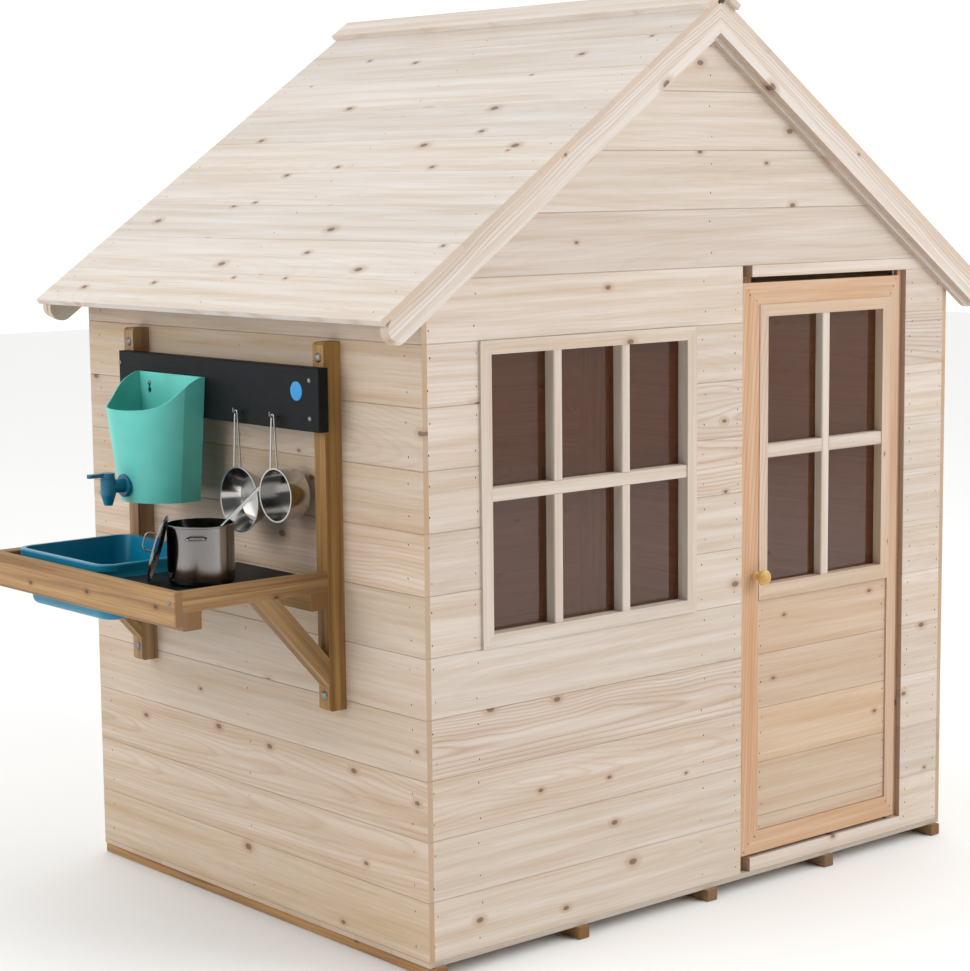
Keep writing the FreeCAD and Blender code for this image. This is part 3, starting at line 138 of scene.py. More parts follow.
# --- sizes and colours that a user would change ---
class PlayhouseBoards(bpy.types.PropertyGroup):
    cover: FloatProperty(name="Board cover", unit="LENGTH", default=94.5 * MM,
                         description="Width that one board shows")
    wall_foot: FloatProperty(name="Wall foot", unit="LENGTH", default=28 * MM,
                             description="Height of the lowest board's lower edge")
    wall_top: FloatProperty(name="Wall top", unit="LENGTH", default=1067.5 * MM,
                            description="Height where the gable boards start")
    ridge: FloatProperty(name="Ridge", unit="LENGTH", default=1491.0 * MM,
                         description="Height of the roof's underside at the ridge")
    roof_cover: FloatProperty(name="Roof board cover", unit="LENGTH", default=93.77 * MM,
                              description="Width that one roof board shows")
    pitch: FloatProperty(name="Roof pitch", subtype="ANGLE", default=math.radians(34.9),
                         description="Slope of the roof from level")
    pale: colour("Spruce, pale", "D3C8BD", "Early wood of the planed spruce boards")
    deep: colour("Spruce, deep", "C0AC98", "Darker streaks of the planed spruce boards")
    ring: colour("Spruce, rings", "A67C56", "Late wood of strongly marked boards")
    knot: colour("Knots", "5B4334", "Heart of a knot")
    # the side walls are the same spruce as the front; their darker, warmer colours are painted shade,
    # as the side walls get less light
    side_wall_shaded_pale: colour("Side walls, pale", "CDBDAC", "Early wood of the side walls' boards")
    side_wall_shaded_deep: colour("Side walls, deep", "B9A084", "Darker streaks of the side walls' boards")
    # the inner battens' darker, redder colours are partly their own wood and partly painted shade of
    # the recesses they sit in
    batten_shaded_pale: colour("Battens, pale", "C9AA8C", "Early wood of the inner battens")
    batten_shaded_deep: colour("Battens, deep", "A98562", "Darker streaks of the inner battens")
    panel_pale: colour("Door panel, pale", "CDB8A3", "Early wood of the door's boards")
    panel_deep: colour("Door panel, deep", "BC9F82", "Darker streaks of the door's boards")
    # the roof is the same spruce as the walls; its paler, greyer colours are painted light, the top
    # light and the sky's sheen on the slopes
    roof_lit_pale: colour("Roof, pale", "DCD6D0", "Early wood of the roof boards")
    roof_lit_deep: colour("Roof, deep", "CBBBAA", "Darker streaks of the roof boards")
    door_pale: colour("Door, pale", "CDB096", "Early wood of the door's timber")
    door_deep: colour("Door, deep", "B99270", "Darker streaks of the door's timber")
    treated_pale: colour("Treated timber, pale", "B38F5F", "Brown pressure-treated timber")
    treated_deep: colour("Treated timber, deep", "7E5C38", "Darker streaks of the treated timber")


class PlayhouseKitchen(bpy.types.PropertyGroup):
    basin: colour("Basin", "007C9C", "Moulded polypropylene basin")
    tank: colour("Water tank", "64CFC3", "Moulded polypropylene tank")
    tap: colour("Tap", "076F90", "Moulded tap and lever")
    board: colour("Black board", "0C0F11", "Black paint on the back board and hob")
    badge: colour("Round badge", "1C8FD0", "Plain round badge on the back board")


class PlayhouseFixings(bpy.types.PropertyGroup):
    nail_length: FloatProperty(name="Nail mark length", unit="LENGTH", default=3.6 * MM,
                               description="Long side of a sunk nail's mark")
    nail_width: FloatProperty(name="Nail mark width", unit="LENGTH", default=1.7 * MM,
                              description="Short side of a sunk nail's mark")
    seed: IntProperty(name="Seed", default=7, description="Seed of the nails' small errors")


class PlayhouseStage(bpy.types.PropertyGroup):
    floor: colour("Floor", "F4F4F3", "Pale studio floor")
    sky: FloatProperty(name="Surround", default=1.14, min=0.0,
                       description="Strength of the white surround")
    key: FloatProperty(name="Key light", default=128.0, min=0.0, unit="POWER",
                       description="Softbox at the front right")
    fill: FloatProperty(name="Fill light", default=82.0, min=0.0, unit="POWER",
                        description="Softbox at the left")


# --- materials ---
def node(tree, kind, inputs=(), **settings):
    """Adds one node. An input is a value, a socket, or a node, whose first output is used."""
    new = tree.nodes.new("ShaderNode" + kind)
    for name, value in settings.items():
        setattr(new, name, value)
    pairs = inputs.items() if isinstance(inputs, dict) else enumerate(inputs)
    for socket, value in pairs:
        if isinstance(value, bpy.types.Node):
            value = value.outputs[0]
        if isinstance(value, bpy.types.NodeSocket):
            tree.links.new(value, new.inputs[socket])
        elif value is not None:
            new.inputs[socket].default_value = value
    return new


def empty_material(name):
    """A new material without nodes, and its node tree."""
    mat = bpy.data.materials.new(name)
    mat.use_nodes = True
    mat.node_tree.nodes.clear()
    return mat, mat.node_tree


def material(name, **shader):
    """A new material with only a Principled shader, whose plain sockets are set here."""
    mat, tree = empty_material(name)
    surface = node(tree, "BsdfPrincipled", shader)
    node(tree, "OutputMaterial", {"Surface": surface})
    return mat, tree, surface


class Lay:
    """How the boards of a node lie: grain along, boards side by side across."""

    def __init__(self, along, across, pitch=0.0, start=0.0, mirrored=False, members=None):
        self.along = along
        self.across = across
        self.pitch = pitch
        self.start = start
        self.mirrored = mirrored
        self.members = members


def planed_softwood(name, pale, deep, ring, knot, lay, seed, streak=1.0, spread=0.07, knots=0.5,
                    rough=0.62, joint_shade=0.78):
    """Planed spruce or pine: pale early wood, fine darker late-wood lines that follow the board
    or arch over it, a tone of its own for each board, and small dark knots with a soft halo."""
    mat, tree, surface = material(name, Roughness=rough, IOR=1.5)
    place = node(tree, "TexCoord").outputs["Object"]
    if lay.mirrored:
        apart = node(tree, "SeparateXYZ", [place])
        side = node(tree, "Math", [apart.outputs[0]], operation="ABSOLUTE")
        place = node(tree, "CombineXYZ", [side, apart.outputs[1], apart.outputs[2]])
    outward = lay.along.cross(lay.across)
    along = node(tree, "VectorMath", [place, tuple(lay.along)], operation="DOT_PRODUCT")
    across = node(tree, "VectorMath", [place, tuple(lay.across)], operation="DOT_PRODUCT")
    deep_in = node(tree, "VectorMath", [place, tuple(outward)], operation="DOT_PRODUCT")
    along, across, deep_in = (n.outputs["Value"] for n in (along, across, deep_in))
    member = None
    if lay.members:
        member = lay.members(tree, along, across)
        swapped = node(tree, "Mix", {0: member, 2: along, 3: across})
        across = node(tree, "Mix", {0: member, 2: across, 3: along}).outputs[0]
        along = swapped.outputs[0]
    # the board's number, and four random values that belong to it
    pitch = lay.pitch or 0.3
    course = node(tree, "Math", [across, -lay.start], operation="ADD")
    course = node(tree, "Math", [course, pitch], operation="DIVIDE")
    number = node(tree, "Math", [course], operation="FLOOR")
    key = node(tree, "CombineXYZ", [number, float(seed), member])
    own = node(tree, "TexWhiteNoise", {"Vector": key}, noise_dimensions="3D")
    luck = node(tree, "SeparateXYZ", [own.outputs["Color"]])
    tone = own.outputs["Value"]
    middle = node(tree, "Math", [number, 0.5], operation="ADD")
    off_middle = node(tree, "Math", [course, middle], operation="SUBTRACT")
    off_middle = node(tree, "Math", [off_middle, pitch], operation="MULTIPLY")
    shifted = node(tree, "Math", [luck.outputs[0], 9.0, along], operation="MULTIPLY_ADD")
    # knots: one chance in each cell of about 110 by 190 mm
    spot = node(tree, "Math", [shifted, KNOT_STRETCH / KNOT_CELL], operation="MULTIPLY")
    rise = node(tree, "Math", [across, 1 / KNOT_CELL], operation="MULTIPLY")
    grid = node(tree, "CombineXYZ", [spot, rise, 0.0])
    cells = node(tree, "TexVoronoi", {"Vector": grid, "Scale": 1.0}, voronoi_dimensions="2D")
    chance = node(tree, "SeparateXYZ", [cells.outputs["Color"]])
    there = node(tree, "Math", [chance.outputs[0], 1 - knots], operation="GREATER_THAN")
    size = node(tree, "MapRange", {0: chance.outputs[1], 3: 1.8 * MM, 4: 5.5 * MM})
    off_knot = node(tree, "Math", [cells.outputs["Distance"], KNOT_CELL], operation="MULTIPLY")
    ratio = node(tree, "Math", [off_knot, size], operation="DIVIDE")
    heart = node(tree, "MapRange", {0: ratio, 1: 0.75, 2: 1.15, 3: 1.0, 4: 0.0},
                 interpolation_type="SMOOTHSTEP")
    halo = node(tree, "MapRange", {0: ratio, 1: 0.8, 2: 3.4, 3: 1.0, 4: 0.0},
                interpolation_type="SMOOTHERSTEP")
    heart = node(tree, "Math", [heart, there], operation="MULTIPLY")
    halo = node(tree, "Math", [halo, there], operation="MULTIPLY")
    # growth rings: distance to a pith that runs at a slight slope behind the board's face
    slow = node(tree, "CombineXYZ", [shifted, across, deep_in])
    sway_at = node(tree, "VectorMath", [slow, (3.0, 9.0, 9.0)], operation="MULTIPLY")
    sway = node(tree, "TexNoise", {"Vector": sway_at, "Scale": 1.0, "Detail": 1.5})
    sway = node(tree, "Math", [sway.outputs[0], -0.5], operation="ADD")
    pith = node(tree, "MapRange", {0: luck.outputs[0], 3: -45 * MM, 4: 45 * MM})
    sideways = node(tree, "Math", [off_middle, pith], operation="SUBTRACT")
    sideways = node(tree, "Math", [sway, 46 * MM, sideways], operation="MULTIPLY_ADD")
    slope = node(tree, "MapRange", {0: luck.outputs[1], 3: -0.09, 4: 0.09})
    depth = node(tree, "Math", [along, slope, 24 * MM], operation="MULTIPLY_ADD")
    depth = node(tree, "Math", [sway, 30 * MM, depth], operation="MULTIPLY_ADD")
    flat = node(tree, "CombineXYZ", [sideways, depth, 0.0])
    radius = node(tree, "VectorMath", [flat], operation="LENGTH").outputs["Value"]
    radius = node(tree, "Math", [halo, 7 * MM, radius], operation="MULTIPLY_ADD")
    # rings are 2 to 4 mm apart; they are drawn 6 mm apart so that they show
    turn = node(tree, "Math", [radius, RING_STEP], operation="DIVIDE")
    turn = node(tree, "Math", [turn], operation="FRACT")
    late = node(tree, "ValToRGB", [turn])
    ramp = late.color_ramp
    ramp.elements[0].position, ramp.elements[0].color = 0.0, (0.25, 0.25, 0.25, 1)
    ramp.elements[1].position, ramp.elements[1].color = 1.0, (0.25, 0.25, 0.25, 1)
    for spot_at, shade in ((0.14, 0.0), (0.55, 0.08), (0.88, 1.0)):
        new = ramp.elements.new(spot_at)
        new.color = (shade, shade, shade, 1)
    # fibres: streaks 2 and 14 mm wide
    fine_at = node(tree, "VectorMath", [slow, (9.0, 420.0, 420.0)], operation="MULTIPLY")
    fine = node(tree, "TexNoise", {"Vector": fine_at, "Scale": 1.0, "Detail": 3.0})
    broad_at = node(tree, "VectorMath", [slow, (2.2, 60.0, 60.0)], operation="MULTIPLY")
    broad = node(tree, "TexNoise", {"Vector": broad_at, "Scale": 1.0, "Detail": 2.0})
    # end grain, where the grain meets the face head on: darker and without streaks
    facing = node(tree, "TexCoord").outputs["Normal"]
    if lay.mirrored:
        parts = node(tree, "SeparateXYZ", [facing])
        tilt = node(tree, "Math", [parts.outputs[0]], operation="ABSOLUTE")
        facing = node(tree, "CombineXYZ", [tilt, parts.outputs[1], parts.outputs[2]])
    end = node(tree, "VectorMath", [facing, tuple(lay.along)], operation="DOT_PRODUCT")
    end = node(tree, "Math", [end.outputs["Value"]], operation="ABSOLUTE")
    end = node(tree, "MapRange", {0: end, 1: 0.75, 2: 0.9})
    # colour
    marked = node(tree, "MapRange", {0: luck.outputs[2], 1: 0.72, 2: 1.0, 3: 0.09, 4: 0.5})
    share = node(tree, "Math", [late, marked], operation="MULTIPLY")
    share = node(tree, "Mix", {0: end, 2: share, 3: 0.22}).outputs[0] if not lay.members else share
    stain = node(tree, "MapRange", {0: broad.outputs[0], 1: 0.3, 2: 0.72, 3: 0.0, 4: 0.85 * streak})
    fibre = node(tree, "MapRange", {0: fine.outputs[0], 1: 0.3, 2: 0.7, 3: -0.16, 4: 0.22})
    stain = node(tree, "Math", [stain, fibre], operation="ADD", use_clamp=True)
    if not lay.members:
        stain = node(tree, "Mix", {0: end, 2: stain, 3: 0.9}).outputs[0]
    base = node(tree, "Mix", {0: stain, 6: pale, 7: deep}, data_type="RGBA").outputs[2]
    base = node(tree, "Mix", {0: share, 6: base, 7: ring}, data_type="RGBA").outputs[2]
    warm = node(tree, "Math", [halo, 0.42], operation="MULTIPLY")
    base = node(tree, "Mix", {0: warm, 6: base, 7: ring}, data_type="RGBA").outputs[2]
    core = node(tree, "Math", [heart, 0.75], operation="MULTIPLY")
    base = node(tree, "Mix", {0: core, 6: base, 7: knot}, data_type="RGBA").outputs[2]
    value = node(tree, "MapRange", {0: tone, 3: 1 - spread, 4: 1 + 0.4 * spread})
    hue = node(tree, "MapRange", {0: luck.outputs[2], 3: 0.503, 4: 0.496})
    strength = node(tree, "MapRange", {0: luck.outputs[1], 3: 0.92, 4: 1.12})
    value = value.outputs[0]
    if lay.pitch:
        # the bevelled joint holds a little dust and shadow
        near = node(tree, "Math", [off_middle], operation="ABSOLUTE")
        joint = node(tree, "MapRange", {0: near, 1: pitch / 2 - JOINT_SHADOW, 2: pitch / 2,
                                       3: 1.0, 4: joint_shade})
        value = node(tree, "Math", [value, joint], operation="MULTIPLY").outputs[0]
    base = node(tree, "HueSaturation", {"Hue": hue, "Saturation": strength, "Value": value,
                                        "Color": base})
    tree.links.new(base.outputs[0], surface.inputs["Base Color"])
    # planing leaves the late wood a little proud and smoother
    height = node(tree, "Math", [fine.outputs[0], 0.5, late], operation="MULTIPLY_ADD")
    bump = node(tree, "Bump", {"Strength": 0.25, "Distance": 0.25 * MM, "Height": height})
    tree.links.new(bump.outputs[0], surface.inputs["Normal"])
    gloss = node(tree, "MapRange", {0: late, 3: rough + 0.04, 4: rough - 0.10})
    tree.links.new(gloss.outputs[0], surface.inputs["Roughness"])
    return mat


def painted_board(name, shade):
    """Black water-based paint on planed pine: satin, with the grain just felt through it."""
    mat, tree, surface = material(name, Roughness=0.5)
    surface.inputs["Specular IOR Level"].default_value = 0.15
    place = node(tree, "TexCoord").outputs["Object"]
    stretched = node(tree, "VectorMath", [place, (300.0, 14.0, 300.0)], operation="MULTIPLY")
    grain = node(tree, "TexNoise", {"Vector": stretched, "Scale": 1.0, "Detail": 3.0})
    dust = node(tree, "TexNoise", {"Vector": place, "Scale": 45.0, "Detail": 4.0})
    lift = node(tree, "MapRange", {0: dust.outputs[0], 1: 0.35, 2: 0.75, 3: 0.0, 4: 0.28})
    worn = tuple(min(1.0, c * 1.6 + 0.006) for c in shade[:3]) + (1.0,)
    base = node(tree, "Mix", {0: lift, 6: shade, 7: worn}, data_type="RGBA").outputs[2]
    tree.links.new(base, surface.inputs["Base Color"])
    gloss = node(tree, "MapRange", {0: grain.outputs[0], 3: 0.42, 4: 0.6})
    tree.links.new(gloss.outputs[0], surface.inputs["Roughness"])
    bump = node(tree, "Bump", {"Strength": 0.2, "Distance": 0.2 * MM, "Height": grain.outputs[0]})
    tree.links.new(bump.outputs[0], surface.inputs["Normal"])
    return mat


def moulded_polypropylene(name, shade, rough, texture_mm):
    """Injection-moulded polypropylene: even colour, soft highlights, a faint spark-eroded texture
    and slow waves where the wall shrank."""
    mat, tree, surface = material(name, IOR=1.49)
    place = node(tree, "TexCoord").outputs["Object"]
    fine = node(tree, "TexNoise", {"Vector": place, "Scale": 1 / (texture_mm * MM), "Detail": 2.0})
    wave = node(tree, "TexNoise", {"Vector": place, "Scale": 18.0, "Detail": 1.0})
    darker = tuple(c * 0.86 for c in shade[:3]) + (1.0,)
    shift = node(tree, "MapRange", {0: wave.outputs[0], 1: 0.3, 2: 0.7})
    base = node(tree, "Mix", {0: shift, 6: shade, 7: darker}, data_type="RGBA").outputs[2]
    tree.links.new(base, surface.inputs["Base Color"])
    gloss = node(tree, "MapRange", {0: fine.outputs[0], 1: 0.3, 2: 0.7, 3: rough - 0.05,
                                    4: rough + 0.06})
    tree.links.new(gloss.outputs[0], surface.inputs["Roughness"])
    height = node(tree, "Math", [wave.outputs[0], 3.0, fine.outputs[0]], operation="MULTIPLY_ADD")
    bump = node(tree, "Bump", {"Strength": 0.3, "Distance": 0.1 * MM, "Height": height})
    tree.links.new(bump.outputs[0], surface.inputs["Normal"])
    return mat


def spun_steel(name, centre, axis, rough, shade):
    """Spun and polished stainless steel: bright, with fine turning lines round its axis."""
    mat, tree, surface = material(name, Metallic=1.0)
    place = node(tree, "TexCoord").outputs["Object"]
    away = node(tree, "VectorMath", [place, tuple(centre)], operation="SUBTRACT")
    high = node(tree, "VectorMath", [away, tuple(axis)], operation="DOT_PRODUCT").outputs["Value"]
    out = node(tree, "VectorMath", [away, tuple(axis)], operation="CROSS_PRODUCT")
    out = node(tree, "VectorMath", [out], operation="LENGTH").outputs["Value"]
    # turning lines are finer than 0.1 mm; they are drawn 0.8 mm apart so that they show
    lines_at = node(tree, "CombineXYZ", [high, out, 0.0])
    lines = node(tree, "TexNoise", {"Vector": lines_at, "Scale": 1 / (0.8 * MM), "Detail": 2.0})
    smear = node(tree, "TexNoise", {"Vector": place, "Scale": 60.0, "Detail": 3.0})
    shade = linear(shade)
    darker = tuple(c * 0.8 for c in shade[:3]) + (1.0,)
    base = node(tree, "Mix", {0: lines.outputs[0], 6: shade, 7: darker}, data_type="RGBA").outputs[2]
    tree.links.new(base, surface.inputs["Base Color"])
    gloss = node(tree, "Math", [smear.outputs[0], 0.12, rough - 0.06], operation="MULTIPLY_ADD")
    tree.links.new(gloss.outputs[0], surface.inputs["Roughness"])
    bump = node(tree, "Bump", {"Strength": 0.12, "Distance": 0.05 * MM, "Height": lines.outputs[0]})
    tree.links.new(bump.outputs[0], surface.inputs["Normal"])
    return mat


def zinc_plated_steel(name, shade, rough):
    """Bright zinc plate on pressed steel: pale grey, a little blotchy, half gloss."""
    mat, tree, surface = material(name, Metallic=1.0)
    place = node(tree, "TexCoord").outputs["Object"]
    blotch = node(tree, "TexNoise", {"Vector": place, "Scale": 500.0, "Detail": 3.0})
    darker = tuple(c * 0.6 for c in shade[:3]) + (1.0,)
    base = node(tree, "Mix", {0: blotch.outputs[0], 6: shade, 7: darker}, data_type="RGBA").outputs[2]
    tree.links.new(base, surface.inputs["Base Color"])
    gloss = node(tree, "MapRange", {0: blotch.outputs[0], 1: 0.3, 2: 0.7, 3: rough, 4: rough + 0.15})
    tree.links.new(gloss.outputs[0], surface.inputs["Roughness"])
    return mat


def clear_acrylic_sheet(name):
    """Cast acrylic, 2 mm, faintly brown: seen straight through, with the studio mirrored in its
    outer face."""
    mat, tree = empty_material(name)
    through = node(tree, "BsdfTransparent", {"Color": linear("E9E2DC")})
    mirror = node(tree, "BsdfGlossy", {"Color": (1, 1, 1, 1), "Roughness": 0.03})
    place = node(tree, "TexCoord").outputs["Object"]
    flow = node(tree, "TexNoise", {"Vector": place, "Scale": 9.0, "Detail": 1.0})
    bump = node(tree, "Bump", {"Strength": 0.1, "Distance": 0.4 * MM, "Height": flow.outputs[0]})
    tree.links.new(bump.outputs[0], mirror.inputs["Normal"])
    share = node(tree, "Fresnel", {"IOR": 1.49})
    behind = node(tree, "NewGeometry").outputs["Backfacing"]
    front = node(tree, "Math", [1.0, behind], operation="SUBTRACT")
    share = node(tree, "Math", [share, front], operation="MULTIPLY")
    tint = node(tree, "BsdfDiffuse", {"Color": linear("9C5D35")})
    body = node(tree, "MixShader", [0.13, through, tint])
    both = node(tree, "MixShader", [share, body, mirror])
    node(tree, "OutputMaterial", {"Surface": both})
    return mat


def finish_node(name, mat):
    """Gives a CAD node its finish."""
    for place in NODES[name].material_slots:
        place.material = mat


# --- where the members of a frame change direction ---
def mitred(x0, x1, z0, z1, left, right, low, high):
    """Members of a mitred frame in the plane of the front: 1 in the stiles, 0 in the rails."""
    def members(tree, along, across):
        to_left = node(tree, "Math", [along, -x0], operation="ADD")
        to_left = node(tree, "Math", [to_left, left], operation="DIVIDE")
        to_right = node(tree, "Math", [x1, along], operation="SUBTRACT")
        to_right = node(tree, "Math", [to_right, right], operation="DIVIDE")
        to_low = node(tree, "Math", [across, -z0], operation="ADD")
        to_low = node(tree, "Math", [to_low, low], operation="DIVIDE")
        to_high = node(tree, "Math", [z1, across], operation="SUBTRACT")
        to_high = node(tree, "Math", [to_high, high], operation="DIVIDE")
        stile = node(tree, "Math", [to_left, to_right], operation="MINIMUM")
        rail = node(tree, "Math", [to_low, to_high], operation="MINIMUM")
        return node(tree, "Math", [stile, rail], operation="LESS_THAN").outputs[0]
    return members


def crossing(middle, half, upright):
    """Members of a glazing bar cross: a level bar or an upright runs right through."""
    def members(tree, along, across):
        first = along if upright else across
        off = node(tree, "Math", [first, -middle], operation="ADD")
        off = node(tree, "Math", [off], operation="ABSOLUTE")
        test = "LESS_THAN" if upright else "GREATER_THAN"
        return node(tree, "Math", [off, half], operation=test).outputs[0]
    return members


# --- small pieces made here ---
def piece(name, bm, body, mat):
    """Makes the bmesh a flat-shaded piece that moves with a body."""
    bmesh.ops.recalc_face_normals(bm, faces=bm.faces)
    mesh = bpy.data.meshes.new(name)
    bm.to_mesh(mesh)
    bm.free()
    mesh.materials.append(mat)
    obj = bpy.data.objects.new(name, mesh)
    bpy.context.scene.collection.objects.link(obj)
    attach(obj, body)


def lens(bm, centre, out, up, half_up, half_side, proud, sides):
    """A low rounded button: a ring on the face, a smaller ring above it, and a flat top."""
    side = up.cross(out)
    rings = []
    for lift, scale in ((-0.4 * proud, 1.0), (0.55 * proud, 1.0), (proud, 0.62)):
        ring = []
        for i in range(sides):
            a = 2 * math.pi * i / sides
            offset = up * (math.cos(a) * half_up * scale) + side * (math.sin(a) * half_side * scale)
            ring.append(bm.verts.new(centre + offset + out * lift))
        rings.append(ring)
    for lower, upper in zip(rings, rings[1:]):
        for i in range(sides):
            j = (i + 1) % sides
            bm.faces.new((lower[i], lower[j], upper[j], upper[i]))
    bm.faces.new(rings[-1])
    bm.faces.new(list(reversed(rings[0])))


def nail_marks(name, places, out, up, body, mat, luck, length, width):
    """Sunk brads as small dark marks a little out of line; their dark is partly the brads' heads and
    partly painted shade of the holes they are sunk in.
    """
    bm = bmesh.new()
    side = up.cross(out)
    for place in places:
        lean = math.radians(luck.uniform(-28, 28))
        turned = up * math.cos(lean) + side * math.sin(lean)
        shifted = place + side * luck.uniform(-5, 5) * MM + up * luck.uniform(-4, 4) * MM
        grow = luck.uniform(0.75, 1.1)
        lens(bm, shifted, out, turned, length / 2 * grow, width / 2 * grow, 0.15 * MM, 8)
    piece(name, bm, body, mat)


def nail_rows(start, cover, count, shares=(0.24, 0.78)):
    """Heights of the nails in level boards; shares are their places within each board."""
    return [start + cover * (i + share) for i in range(count) for share in shares]


# --- operators ---
class PLAYHOUSE_OT_walls(bpy.types.Operator):
    """Finish the wall, gable and floor boards in planed spruce"""
    bl_idname = "playhouse.walls"
    bl_label = "Wall boards"

    def execute(self, context):
        s = context.scene.playhouse_boards
        level = Lay(X, Z, s.cover, s.wall_foot)
        gable = Lay(X, Z, s.cover, s.wall_top)
        sideways = Lay(Y, Z, s.cover, s.wall_foot)
        floor = Lay(X, Y, FLOOR_COVER, FRONT_FACE)
        sides = ("left_wall_boards", "right_wall_boards")
        rows = [("front_lower_boards", level, 5), ("front_left_boards", level, 12),
                ("front_middle_boards", level, 31), ("front_upper_board", level, 9),
                ("front_right_boards", level, 17), ("front_gable_boards", gable, 8),
                ("back_wall_boards", level, 23), ("back_gable_boards", gable, 29),
                ("left_wall_boards", sideways, 14), ("right_wall_boards", sideways, 37),
                ("floor_boards", floor, 41)]
        for name, lay, seed in rows:
            # the side walls take the darker, warmer colours: painted shade
            pale, deep = (s.side_wall_shaded_pale, s.side_wall_shaded_deep) if name in sides else (s.pale, s.deep)
            mat = planed_softwood("planed_spruce_" + name, pale, deep, s.ring, s.knot, lay, seed)
            finish_node(name, mat)
        return {"FINISHED"}


class PLAYHOUSE_OT_roof(bpy.types.Operator):
    """Finish the roof boards, barge boards, rafters and ridge cap in planed spruce"""
    bl_idname = "playhouse.roof"
    bl_label = "Roof"

    def execute(self, context):
        s = context.scene.playhouse_boards
        down = Vector((math.cos(s.pitch), 0, -math.sin(s.pitch)))
        off = Vector((math.sin(s.pitch), 0, math.cos(s.pitch)))
        start = -s.ridge * math.sin(s.pitch) + RIDGE_GAP
        boards = Lay(Y, down, s.roof_cover, start, True)
        capping = Lay(Y, down, 0.0, 0.0, True)
        sloping = Lay(down, off, 0.0, 0.0, True)
        rows = [("left_roof_boards", boards, 3), ("right_roof_boards", boards, 11),
                ("ridge_cap", capping, 19), ("front_barge_boards", sloping, 21),
                ("back_barge_boards", sloping, 26), ("roof_rafters", sloping, 33)]
        for name, lay, seed in rows:
            # paler, greyer roof colours: painted light
            mat = planed_softwood("planed_spruce_" + name, s.roof_lit_pale, s.roof_lit_deep, s.ring, s.knot,
                                  lay, seed, joint_shade=0.92)
            finish_node(name, mat)
        return {"FINISHED"}


class PLAYHOUSE_OT_joinery(bpy.types.Operator):
    """Finish the window, lintel, threshold and battens in planed spruce"""
    bl_idname = "playhouse.joinery"
    bl_label = "Window and battens"

    def execute(self, context):
        s = context.scene.playhouse_boards
        outline = mitred(*WINDOW, *WINDOW_MEMBERS)
        bars = crossing(*WINDOW_BAR, upright=False)
        rows = [("window_frame", Lay(X, Z, members=outline), 2),
                ("window_muntins", Lay(X, Z, members=bars), 6),
                ("door_lintel", Lay(X, Z), 44), ("door_threshold", Lay(X, Z), 4),
                ("front_battens", Lay(Z, X), 51), ("back_battens", Lay(Z, X), 52),
                ("side_battens", Lay(Z, Y), 53), ("eaves_battens", Lay(Y, Z), 54)]
        for name, lay, seed in rows:
            # the inner battens take darker, redder colours: partly painted shade of their recesses
            inner = name.endswith("battens")
            pale, deep = (s.batten_shaded_pale, s.batten_shaded_deep) if inner else (s.pale, s.deep)
            mat = planed_softwood("planed_spruce_" + name, pale, deep, s.ring, s.knot, lay, seed,
                                  knots=0.25)
            finish_node(name, mat)
        return {"FINISHED"}


class PLAYHOUSE_OT_door(bpy.types.Operator):
    """Finish the door's frame, boards, beads, bars and knob"""
    bl_idname = "playhouse.door"
    bl_label = "Door"

    def execute(self, context):
        s = context.scene.playhouse_boards
        outline = mitred(*DOOR, *DOOR_MEMBERS)
        bead = mitred(*BEAD, *BEAD_MEMBERS)
        bars = crossing(*DOOR_BAR, upright=True)
        boards = Lay(X, Z, s.cover, DOOR_BOARDS_START)
        rows = [("door_frame", Lay(X, Z, members=outline), 61, s.door_pale, s.door_deep),
                ("door_boards", boards, 64, s.panel_pale, s.panel_deep),
                ("door_glazing_bead", Lay(X, Z, members=bead), 66, s.panel_pale, s.panel_deep),
                ("door_muntins", Lay(X, Z, members=bars), 67, s.pale, s.deep)]
        for name, lay, seed, pale, deep in rows:
            mat = planed_softwood("planed_spruce_" + name, pale, deep, s.ring, s.knot, lay, seed,
                                  knots=0.3)
            finish_node(name, mat)
        knob = planed_softwood("varnished_beech_knob", linear("E2BE7C"), linear("CF9F56"),
                               linear("B9853F"), s.knot, Lay(Y, Z), 71, knots=0.0, rough=0.3)
        finish_node("door_knob", knob)
        return {"FINISHED"}


class PLAYHOUSE_OT_glazing(bpy.types.Operator):
    """Give the window and door their clear acrylic sheets"""
    bl_idname = "playhouse.glazing"
    bl_label = "Glazing"

    def execute(self, context):
        sheet = clear_acrylic_sheet("cast_acrylic_sheet")
        finish_node("window_glazing", sheet)
        finish_node("door_glazing", sheet)
        return {"FINISHED"}


